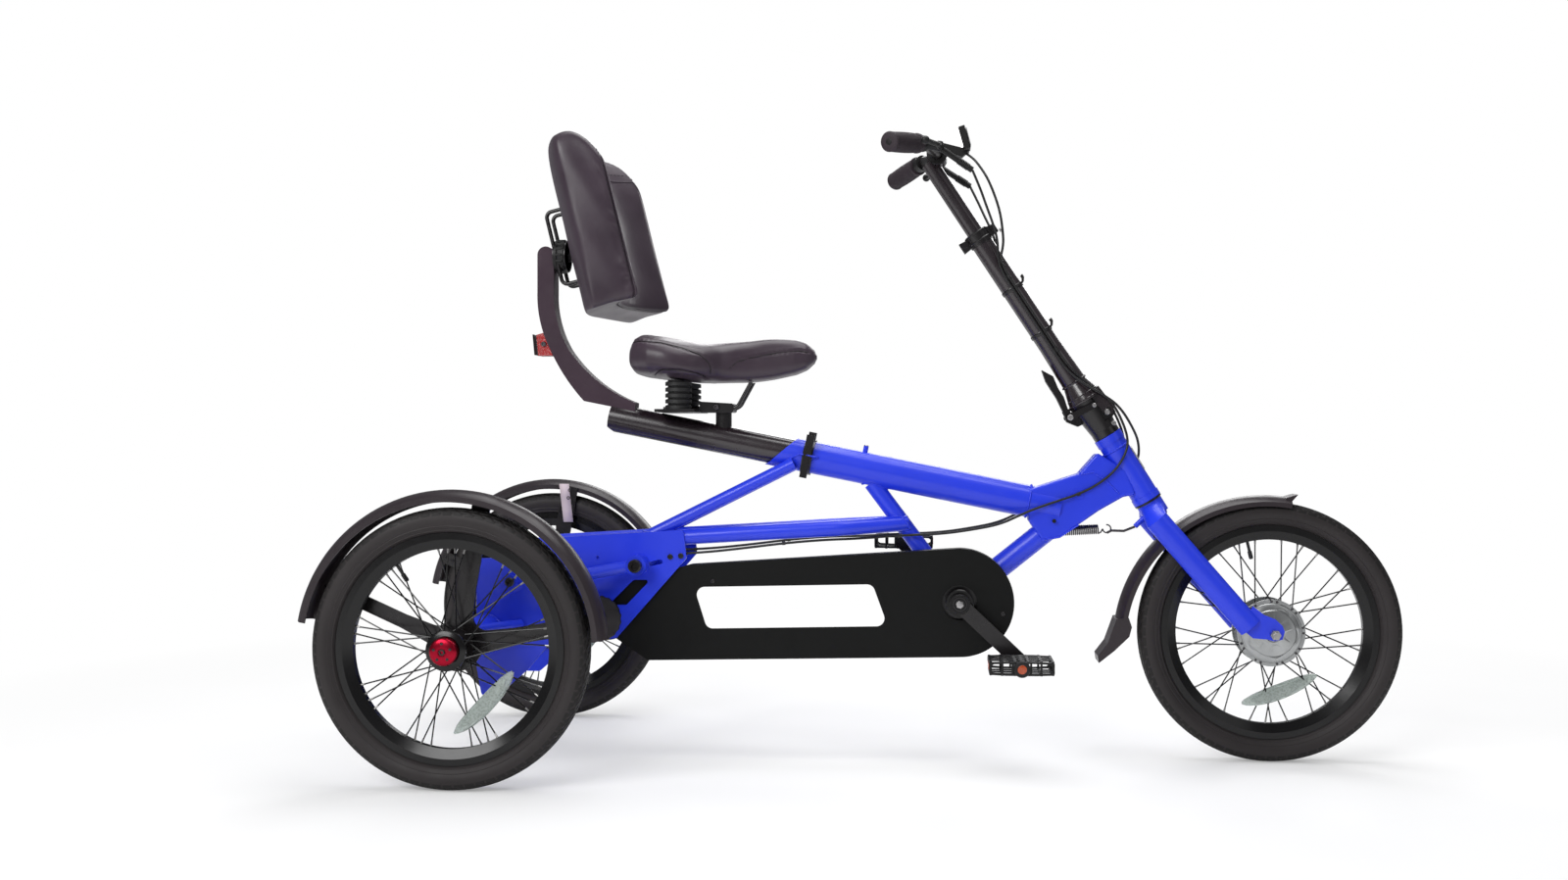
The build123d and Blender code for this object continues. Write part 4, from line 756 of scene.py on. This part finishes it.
def back_place(a, b, c, lift=0.0):
    """a across, b up and c from the rear face to the rider's, each from -1 to 1."""
    crisp = 13 + 13 * clamp(-b) ** 2
    size = (abs(a) ** crisp + abs(b) ** crisp + abs(c) ** crisp) ** (1 / crisp) / max(abs(a), abs(b), abs(c))
    a, b, c = a / size, b / size, c / size
    t = (c + 1) / 2
    angle = a * BACK_HALF_ANGLE
    rear = Vector((BACK_R * (1 - cos(angle)), BACK_R * sin(angle)))
    face = Vector((BACK_T + BACK_WING * abs(a) ** 2.4, BACK_HALF * a))
    out, y = rear.lerp(face, t)
    low, top = 5 + 5 * t - 13 * abs(a) ** 3, table(*BACK_TOP, t)
    up = low + (top - low) * (1 + b) / 2
    crown = (1 - a * a) * (1 - b * b)
    out += crown * (7 if c > 0 else -1) * abs(c) ** 4
    y += 5 * abs(a) ** 6 * (1 - b * b) * (1 - c * c) * (1 if a > 0 else -1)
    push = Vector((c ** 9, a ** 9, b ** 9))
    if push.length > 0:
        push.normalize()
    out, y, up = Vector((out, y, up)) + push * lift
    return BACK_LOW + BACK_OUT * out + Vector((0, y, 0)) + BACK_UP * up


def back_lift(a, b, c):
    """Sink at the sewn edge, with puckers running off it."""
    lift = 0.8 * sin(a * 5 + b * 3.1) * sin(b * 4.4 - a * 1.7)
    if max(abs(a), abs(b)) > 0.97:
        lift -= 3.4 * exp(-((c - 0.80) / 0.055) ** 2)
        lift += 2.1 * sin(b * 24 + 2.2 * sin(b * 9)) * exp(-((c - 0.62) / 0.16) ** 2) * (0.6 - 0.4 * b)
        lift += 1.1 * sin(c * 4 + b * 7) * (1 - c * c)
    return lift


back = Form()
build = bmesh.new()
bmesh.ops.create_cube(build, size=2)
bmesh.ops.subdivide_edges(build, edges=build.edges, cuts=BACK_CUTS, use_grid_fill=True)
index = {v: i for i, v in enumerate(build.verts)}
back.points = [tuple(back_place(*v.co, back_lift(*v.co))) for v in build.verts]
back.faces = [tuple(index[v] for v in f.verts) for f in build.faces]
build.free()
back_piece = back.make("backrest_cover", "seat", "vinyl", sharp=80)
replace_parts(back_piece, "backrest")


def back_edge(c, steps=260):
    """Line round the cushion at one depth."""
    line = []
    for k in range(steps):
        t = 8 * k / steps
        leg, s = int(t // 2), t % 2 - 1
        line.append(back_place(*[(s, -1), (1, s), (-s, 1), (-1, -s)][leg], c))
    return line


Form().tube(back_edge(0.86), 1.5, 8, closed=True).make("backrest_welt", "seat", "vinyl", sharp=80)
stitch = Form()
line = back_edge(0.74, 520)
for start, end in zip(line[::4], line[2::4]):
    stitch.tube([start, end], 0.55, 5)
stitch.make("backrest_stitches", "seat", "thread")

# Clamp disc behind it, with a knurled rim and a nut
disc = Form()
DISC_Z = 1002
disc.lathe((99, 0, DISC_Z), (1, 0, 0),
           [(0, 30), (2, 33), (7, 33.6), (9, 32), (12, 33.2), (22, 33.2), (25, 30), (25, 12)], 48)
for a in turns(16):
    disc.lathe((105, 31.5 * cos(a), DISC_Z + 31.5 * sin(a)), (1, 0, 0), [(0, 3), (1, 3.4), (13, 3.4), (14, 2.6)], 8)
disc.lathe((124, 0, DISC_Z), (1, 0, 0), [(0, 11), (2, 12), (10, 12), (12, 10), (13.5, 6)], 6)
disc.make("backrest_clamp", "seat", "matte", bevel=0.4)

# Grips with rings, their end caps and the bar ends
GRIP_RINGS = 23
for name, side in SIDES:
    p, q = Vector((785, side * 200, 1184)), Vector((850, side * 84, 1203))
    axis = (q - p).normalized()
    profile = [(-5.4, 7), (-5.6, 15.5), (-4.6, 18), (-2.5, 19.2)]
    for k in range(GRIP_RINGS):
        s = 1 + k * 4.1
        swell = 18.6 + 0.9 * sin(pi * k / 22) if k < 20 else 18.6
        profile += [(s, swell), (s + 0.5, swell - 0.9), (s + 1.5, swell - 0.9), (s + 2.0, swell)]
    profile += [(97.5, 19.4), (100.8, 19.2), (101, 11.2)]
    grip = Form().lathe(p, axis, profile, 48)
    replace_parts(grip.make(f"grip_sleeve_{name}", "bars", "grip", sharp=50), f"grip_{name}")
    Form().lathe(p, -axis, [(5.0, 6.4), (5.9, 6.2), (6.2, 5.2), (6.2, 2.2), (5.2, 1.6)], 24).make(
        f"bar_plug_{name}", "bars", "matte")

# Controls: screen, clamp ring and lever details
SCREEN_FACING = Vector((-0.965, 0, 0.262))
Form().slab([(914.2, -27, 1244.6), (914.2, 27, 1244.6), (924.8, 27, 1208), (924.8, -27, 1208)],
            SCREEN_FACING * 0.9).make("display_screen", "bars", "screen", bevel=0.3)
Form().slab([(928.5, -31, 1246), (928.5, 31, 1246), (937.6, 31, 1211), (937.6, -31, 1211)],
            -SCREEN_FACING * 1.6).make("display_back", "bars", "grey", bevel=0.5)
keys = Form()
for y in (-18, 0, 18):
    keys.lathe((924.2, y, 1206.5), SCREEN_FACING, [(0, 3.6), (1.8, 3.4), (2.2, 2.4)], 16)
keys.make("display_keys", "bars", "matte")
collars = Form()
BAR_X, BAR_Z = BAR_CLAMP
for side in BOTH:
    collars.ring((BAR_X, side * 24, BAR_Z), Y, mirrored([(-3.5, 11.2), (-3.5, 15), (-2.5, 16.2)]), 40)
    collars.ring((BAR_X, side * 30, BAR_Z), Y, mirrored([(-1.2, 11.2), (-1.2, 19.6)], [(0, 20.6)]), 40)
    lever = Vector((876, -96 * side, BAR_Z))
    adjust = (Vector((940, -88 * side, 1150)) - lever).normalized()
    for k in range(7):
        collars.lathe(lever + adjust * (46 + k * 3.4), adjust, [(0, 7.2), (1.2, 7.6), (2.0, 7.2), (2.6, 6.6)], 18)
    collars.lathe(lever, Vector((0.2, 0, 1)), [(6, 6.2), (10.6, 6.2), (11.4, 5)], 6)
collars.make("control_rings", "bars", "matte")
lever_caps = Form()
for side in BOTH:
    lever_caps.lathe((BAR_X, side * 22, BAR_Z), (0, side, 0), [(0, 19.6), (1.4, 19.0), (1.6, 12)], 40, caps=False)
lever_caps.make("clamp_faces", "bars", "dark_steel")

# Mast collar: hinge pins and rings
hinge = Form()
hinge.lathe(mast(389, -30, -9), Y, [(0, 6), (1, 7), (17, 7), (18, 6)], 20)
hinge.lathe(mast(389, 32, -9), Y, [(0, 5), (1, 6), (17, 6), (18, 5)], 20)
for along in (381, 397):
    hinge.ring(mast(along), MAST_AXIS, mirrored([(-1.4, 24), (-1.4, 25)], [(0, 25.8)]), 48)
hinge.make("collar_rings", "mast", "black")
hooks = Form()
for along in (160, 264):
    tip = [mast(along, 20), mast(along + 3, 26), mast(along + 9, 30), mast(along + 14, 30)]
    for side in BOTH:
        hooks.tube([p + Vector((0, side * (2 + 3.2 * k), 0)) for k, p in enumerate(tip)], 2.2, 8)
    hooks.ring(mast(along), MAST_AXIS, mirrored([(-4, 21.4), (-4, 22.6), (-3, 23.2)]), 48)
hooks.make("mast_hooks", "mast", "black")
foot = Form()
foot.ring(mast(6), MAST_AXIS, [(-5.6, 35.5), (-5.6, 36.3), (-4.4, 37), (-2, 36.8), (-0.6, 35.5)], 72)
foot.ring(mast(14), MAST_AXIS, [(-1.4, 32.2), (-1.2, 33.4), (0.4, 33.2), (1.4, 31.6)], 72)
weld(foot, circle(mast(43), MAST_AXIS, 24.6, 60))
foot.make("mast_foot_rings", "mast", "tube")

# Head tube: lower ring and blank badge; hang tag inside the left mudguard
Form().ring(head(-2), HEAD_AXIS, [(-2.6, 24), (-2.6, 27.6), (-1.6, 28.4), (1.0, 28.4), (1.6, 27.6), (1.6, 24)],
            64).make("head_rings", "frame", "black")
BADGE_R = 27.7


def thin_sheet(name, look, rows, thick, side):
    """Sheet on the frame, thickened to one side of its rows."""
    piece = Form().grid(rows, close_columns=False).make(name, "frame", look)
    solid = piece.modifiers.new("thick", "SOLIDIFY")
    solid.thickness = thick / 1000
    solid.offset = side


badge_turns = [radians(-27 + 4.5 * j) for j in range(13)]
thin_sheet("head_badge", "pale",
           [[head(56 + 2.5 * k, BADGE_R * cos(t), BADGE_R * sin(t)) for t in badge_turns] for k in range(21)], 0.9, 1)
thin_sheet("blank_tag", "paper",
           [[(x + wide, 310.6, z) for x, z in ((22, 530), (25.5, 500), (29, 470), (32, 444))] for wide in (0, 22)],
           0.6, -1)

# Return spring: open coil with a hook at each end, between the down tube and the fork
SPRING_END = Vector((1262, 0, 458))
COIL_START, COIL_END = Vector((1112, 0, 448.4)), Vector((1190, 0, 452.6))
COIL_LENGTH, COIL_R = 78, 8.6
TURNS, TURN_STEPS = 21, 16
across = Vector(Y)
run = (COIL_END - COIL_START).normalized()
up = across.cross(run)
coil = []
for k in range(TURNS * TURN_STEPS + 1):
    a = 2 * pi * k / TURN_STEPS
    coil.append(COIL_START + run * (COIL_LENGTH * k / (TURNS * TURN_STEPS)) + (up * cos(a) + across * sin(a)) * COIL_R)
spring = Form().tube(coil, 1.55, 7)
for end, way in ((COIL_START, -1), (COIL_END, 1)):
    hook = [end + up * COIL_R, end + run * way * 5 + up * 6, end + run * way * 9]
    hook += [end + run * way * (17 - 8 * cos(radians(a))) + up * 8 * sin(radians(a)) for a in range(0, 300, 25)]
    spring.tube(hook, 1.5, 7)
spring.tube([COIL_START - run * 17 + up * 8, COIL_START - run * 24, (1085, 0, 443), (1078, 0, 441)], 2.4, 8)
spring.tube([COIL_END + run * 17 + up * 8, COIL_END + run * 26 + up * 4, COIL_END + run * 50 + up * 6, SPRING_END],
            2.6, 8)
spring_piece = spring.make("return_coil", ("frame", "steering", (1200, 0, 452), SPRING_END), "dark_steel", sharp=80)
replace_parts(spring_piece, "return_spring")

# Cables: the CAD routes as smooth lines
CABLE_R = 2.5
CABLE_Y = 26
MAST_TOP, MAST_FOOT = 276, 106
NECK_END = (1238, 0, 656)


def held(along, out=-1.5):
    """Place of a cable on the mast's right side."""
    return mast(along, out, -CABLE_Y)


FIRST_BARS = [
    (928, 0, 1201), (942, -4, 1192), (957, -12, 1172), (972, -22, 1146), (985, -28, 1113), (996, -29, 1078),
    (1001, -28, 1043), (1003, -26, 1014), held(322, 5), held(MAST_TOP, 5),
]
SECOND_BARS = [
    (940, -88, 1150), (955, -78, 1118), (968, -60, 1085), (982, -42, 1052), (992, -30, 1019),
    held(318), held(MAST_TOP),
]
FIRST_STEM = [held(MAST_FOOT, 5), held(82, 5), (1158, -26, 746), (1190, -30, 724), (1222, -25.6, 695.4),
              (1236, -27, 659)]
SECOND_STEM = [held(MAST_FOOT), held(84), (1136, -29, 757), (1160, -34, 738), (1192, -38, 720), (1230, -32, 694),
               (1248, -20, 665)]
THIRD_STEM = [held(MAST_FOOT), held(84), (1138, -28, 757), (1163, -28, 739), (1192, -30, 721), *FIRST_STEM[-2:]]
FRAME_ROUTE = [
    (1236, -27, 659), (1246, -28, 633), (1240, -33, 602), (1219, -31, 568), (1185, -31, 541), (1149, -31, 523),
    (1109, -36, 510), (1065, -38, 495), (1033, -38, 481), (995, -35, 463), (940, -31, 452), (879, -27, 443),
    (800, -24, 440), (720, -38, 434), (648, -50, 432), (570, -51, 425), (492, -51, 415), (430, -54, 408),
    (376, -55, 404), (304, -56, 402), (232, -56, 400), (160, -55, 399),
]
SECOND_FRAME = [
    (1248, -20, 665), (1262.4, -10.4, 641.8), (1271, 6, 616), (1272, 25, 590), (1253, 38, 565), (1218, 36, 547),
    (1194, 27, 541),
]


def other_side(points):
    return [(p[0], -p[1], p[2]) for p in points]


def cables(name, body, node, routes):
    """The routes as NURBS lines with a round section, joined in one mesh."""
    curve = bpy.data.curves.new(name, "CURVE")
    curve.dimensions = "3D"
    curve.bevel_depth = CABLE_R / 1000
    curve.bevel_resolution = 3
    curve.resolution_u = 10
    curve.use_fill_caps = True
    for points in routes:
        spline = curve.splines.new("NURBS")
        spline.points.add(len(points) - 1)
        for point, place in zip(spline.points, points):
            point.co = (*at(*place), 1)
        spline.order_u = 3
        spline.use_endpoint_u = True
    holder = in_scene(name + "_line", curve)
    bpy.context.view_layer.update()
    mesh = bpy.data.meshes.new_from_object(holder.evaluated_get(bpy.context.evaluated_depsgraph_get()))
    mesh.name = name
    bpy.data.objects.remove(holder)
    bpy.data.curves.remove(curve)
    mesh.materials.clear()
    mesh.materials.append(LOOKS["cable"][0])
    mesh.shade_smooth()
    piece = in_scene(name, mesh)
    carry(piece, body)
    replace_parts(piece, node)


cables("cable_tops", ("bars", "mast", (960, 0, 1150), (1003, 0, 1000)), "cable_bars",
       [FIRST_BARS, SECOND_BARS, other_side(SECOND_BARS)])
cables("cable_middles", "mast", "cable_mast",
       [[mast(along, out, side * CABLE_Y) for along in (MAST_TOP, MAST_FOOT)]
        for out, side in ((5, -1), (-1.5, -1), (-1.5, 1))])
cables("cable_lows", ("mast", "steering", mast(100), NECK_END), "cable_stem",
       [FIRST_STEM, SECOND_STEM, other_side(THIRD_STEM)])
cables("cable_runs", ("steering", "frame", NECK_END, (1200, 0, 550)), "cable_frame",
       [FRAME_ROUTE, other_side(FRAME_ROUTE), SECOND_FRAME])
clips = Form()
for along in (116, 288):
    for side in BOTH:
        for out in (5, -1.5):
            clips.ring(mast(along, out, side * CABLE_Y), MAST_AXIS, mirrored([(-4, 2.6), (-4, 3.6)]), 20)
clips.make("mast_clips", "mast", "cable")
clips = Form()
for x, y, z, dx, dy, dz in ((1149, 31, 523, -40, 2, -15), (800, 24, 440, -80, 8, -4), (570, 51, 425, -78, 1, -9),
                            (376, 55, 404, -60, 1, -3)):
    for side in BOTH:
        clips.ring((x, side * y, z), (dx, side * dy, dz), mirrored([(-3, 2.6), (-3, 3.7)]), 20)
clips.make("frame_clips", "frame", "cable")

# Chains: link plates on rollers round both loops
def chain_radius(teeth):
    return PITCH / (2 * sin(pi / teeth))


def loop_points(big, small):
    """Even steps round the two wheels of a chain, each given as (x, z, radius)."""
    (x0, z0, r0), (x1, z1, r1) = big, small
    gap, lean = hypot(x1 - x0, z1 - z0), atan2(z1 - z0, x1 - x0)
    spread = atan2(sqrt(gap * gap - (r0 - r1) ** 2), r0 - r1)
    fine = []
    for x, z, r, start, sweep in ((x0, z0, r0, lean + spread, 2 * pi - 2 * spread),
                                  (x1, z1, r1, lean - spread, 2 * spread)):
        for k in range(200):
            a = start + sweep * k / 199
            fine.append((x + r * cos(a), z + r * sin(a)))
    fine.append(fine[0])
    total = sum(hypot(q[0] - p[0], q[1] - p[1]) for p, q in zip(fine, fine[1:]))
    count = 2 * round(total / PITCH / 2)
    step, places, run, target = total / count, [], 0.0, 0.0
    for p, q in zip(fine, fine[1:]):
        length = hypot(q[0] - p[0], q[1] - p[1])
        while length > 0 and target <= run + length and len(places) < count:
            t = (target - run) / length
            places.append((p[0] + (q[0] - p[0]) * t, p[1] + (q[1] - p[1]) * t))
            target += step
        run += length
    return places


PLATE = [(-4.2, 0), (-3, 3), (0, 4.2), (3.5, 3.6), (PITCH / 2, 2.9), (PITCH - 3.5, 3.6), (PITCH, 4.2),
         (PITCH + 3, 3), (PITCH + 4.2, 0)]
PLATE += [(s, -w) for s, w in reversed(PLATE[1:-1])]
PLATE_T = 0.9
links = Form()
for big, y in (((*BB, chain_radius(RING_TEETH)), CHAIN_Y), ((0, TYRE_R, chain_radius(COG_TEETH)), SECOND_Y)):
    places = loop_points(big, (*JACKSHAFT, chain_radius(COG_TEETH)))
    for k, (x, z) in enumerate(places):
        links.lathe((x, y - 3.4, z), Y, [(0, 1.6), (0.1, 3.7), (6.7, 3.7), (6.8, 1.6)], 8)
        nx, nz = places[(k + 1) % len(places)]
        out = 3.0 if k % 2 else 4.0
        direction = Vector((nx - x, 0, nz - z)).normalized()
        across = Vector(Y).cross(direction)
        for side in BOTH:
            links.slab([Vector((x, y + side * out - PLATE_T / 2, z)) + direction * s + across * w for s, w in PLATE],
                       (0, PLATE_T, 0))
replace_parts(links.make("chain_links", "frame", "dark_steel", sharp=50), "chain")

# Cranks and pedals
rings = Form()
for side in BOTH:
    rings.lathe((BB[0], 0, BB[1]), (0, side, 0),
                [(89.5, 19.6), (91, 18.6), (91, 15), (89.8, 14), (89.8, 11.6), (91.4, 10.6), (91.4, 8.6)], 48,
                caps=False)
    rings.ring((BB[0], side * 70, BB[1]), Y, mirrored([(-4, 17), (-4, 26), (-2.6, 27.5)]), 48)
    rings.ring((BB[0], side * 38.5, BB[1]), Y, mirrored([(-2, 14), (-2, 24)]), 48)
for name, side in SIDES:
    x, z = BB[0] - side * CRANK_LENGTH * cos(CRANK_ANGLE), BB[1] - side * CRANK_LENGTH * sin(CRANK_ANGLE)
    rings.lathe((x, side * 90, z), (0, side, 0), [(0, 11), (1.4, 10.4), (1.6, 7.6)], 24, caps=False)
    cage = Form()

    def block(u, y, w, long, deep, high):
        cage.block((x + u, side * y, z + w), (long, deep, high))

    for y in (102, 187):
        for w in (-12, 12):
            rail = [(-60, -7 * w / 12), (-55, -w), (-28, -w * 1.1), (28, -w * 1.1), (55, -w), (60, -7 * w / 12),
                    (57, -4 * w / 12), (52, -w * 0.66), (27, -w * 0.78), (-27, -w * 0.78), (-52, -w * 0.66),
                    (-57, -4 * w / 12)]
            cage.prism([(x + u, z + v) for u, v in rail], side * y, side * (y + 5))
        for u in (-58.5, -36, -17, 17, 36, 58.5):
            block(u, y + 2.5, 0, 4, 4.2, 20)
    for u in (-57.5, 57.5):
        for w in (-10.5, 10.5):
            block(u, 146, w, 5, 84, 5.2)
        for k in range(7):
            block(u, 111.6 + 12.4 * k, 0, 4, 3.2, 20)
    for w in (-12.6, 12.6):
        for y in (123, 147, 171):
            block(0, y, w, 114, 6, 2.8)
        for u in (-36, -12, 12, 36):
            block(u, 146, w, 4.8, 84, 2.8)
    cage.lathe((x, 0, z), (0, side, 0), [(100, 7.1), (100, 12), (102, 13), (186, 13), (190, 11)], 28, caps=False)
    cage.lathe((x, 0, z), (0, side, 0), [(191, 15.4), (200, 15.4), (202, 13.5), (202, 9)], 32)
    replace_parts(cage.make(f"pedal_cage_{name}", f"{name}_pedal", "matte", sharp=30, bevel=0.5), f"pedal_{name}")
    glow = Form()
    for u in (-60.4, 60.4):
        glow.block((x + u, side * 146, z), (1.6, 44, 12))
    glow.lathe((x, 0, z), (0, side, 0), [(201.6, 8.6), (202.4, 8.2), (202.8, 5)], 28)
    glow.make(f"pedal_lens_{name}", f"{name}_pedal", "amber_lens", bevel=0.4)
rings.make("crank_rings", "cranks", "black_gloss")

# Small bolts, the threaded stud on the main tube and the rear reflector's back
rivets = Form()
FENDER_R = TYRE_R + 32
for side in BOTH:
    for angle in (80, 156, 10):
        for r in (FENDER_R - 20, FENDER_R - 38):
            for y, facing in ((312, -side), (316.5, side)):
                bolt(rivets, wheel_point(0, side * y, r, radians(angle)), (0, facing, 0), 4.0, 2.6)
rivets.make("fender_bolts", "frame", "black")
for name, body, place, axis, r, high in (("main_stud", "frame", main(80, 43), main(0, 1) - main(0), 4.6, 3),
                                         ("bolts_mast_steel", "mast", (996, 0, 1046), (0.84, 0, 0.55), 4.2, 4)):
    form = Form()
    bolt(form, place, axis, r, high)
    form.make(name, body, "steel")
Form().slab([(58.5, -19, 801), (58.5, 19, 801), (54.6, 19, 843), (54.6, -19, 843)], (2.4, 0, 0.2)).make(
    "reflector_back", "seat", "black", bevel=0.6)


# Studio
def floor_material():
    """Pale floor that keeps the shadow near the tricycle and fades to plain white far off."""
    n = Nodes("pale_floor")
    n.set(Base_Color=n.shades(n.noise(3, 3), [(0.3, (0.92, 0.92, 0.92)), (0.7, (0.94, 0.94, 0.94))]), Roughness=0.8,
          Specular_IOR_Level=0.1)
    length = n.add("ShaderNodeVectorMath")
    length.operation = "LENGTH"
    n.link(n.place, length.inputs[0])
    far = n.spread(length.outputs["Value"], 0.3, 1.0, 1.1, 2.5)
    seen = math_of(n.tree, "MULTIPLY", far, n.add("ShaderNodeLightPath").outputs["Is Camera Ray"])
    show_mix(n.tree, "Material Output", seen, n.shader.outputs[0], n.add("ShaderNodeEmission").outputs[0])
    return n.material


HALF_FLOOR = 14
floor_mesh = bpy.data.meshes.new("floor")
floor_mesh.from_pydata([(u * HALF_FLOOR, v * HALF_FLOOR, 0) for u, v in ((-1, -1), (1, -1), (1, 1), (-1, 1))], [],
                       [(0, 1, 2, 3)])
floor_mesh.materials.append(floor_material())
in_scene("floor", floor_mesh)

world = bpy.data.worlds.new("studio")
bpy.context.scene.world = world
world.use_nodes = True
tree = world.node_tree
plain = tree.nodes["Background"]
plain.inputs["Color"].default_value = (0.95, 0.96, 1.0, 1)
plain.inputs["Strength"].default_value = 0.22
white = tree.nodes.new("ShaderNodeBackground")
white.inputs["Color"].default_value = (1, 1, 1, 1)
rays = tree.nodes.new("ShaderNodeLightPath").outputs
seen = math_of(tree, "MAXIMUM", rays["Is Camera Ray"], rays["Is Transmission Ray"])
show_mix(tree, "World Output", seen, plain.outputs[0], white.outputs[0])

LIT_PLACE = Vector((0, 0, 0.6))
LAMPS = [
    # name, place, width, height, watts
    ("key", (-2.2, -3.3, 2.7), 2.6, 1.8, 118),
    ("fill", (3.2, -2.6, 2.6), 1.8, 1.8, 7),
    ("top", (0.2, 0.2, 3.6), 3.2, 2.2, 92),
    ("back", (0.5, 3.4, 2.4), 3.0, 1.4, 60),
]
for name, place, width, height, watts in LAMPS:
    lamp_data = bpy.data.lights.new(name, "AREA")
    lamp_data.shape = "RECTANGLE"
    lamp_data.size = width
    lamp_data.size_y = height
    lamp_data.energy = watts
    lamp = in_scene(name, lamp_data)
    lamp.location = place
    lamp.rotation_euler = (LIT_PLACE - Vector(place)).to_track_quat("-Z", "Y").to_euler()
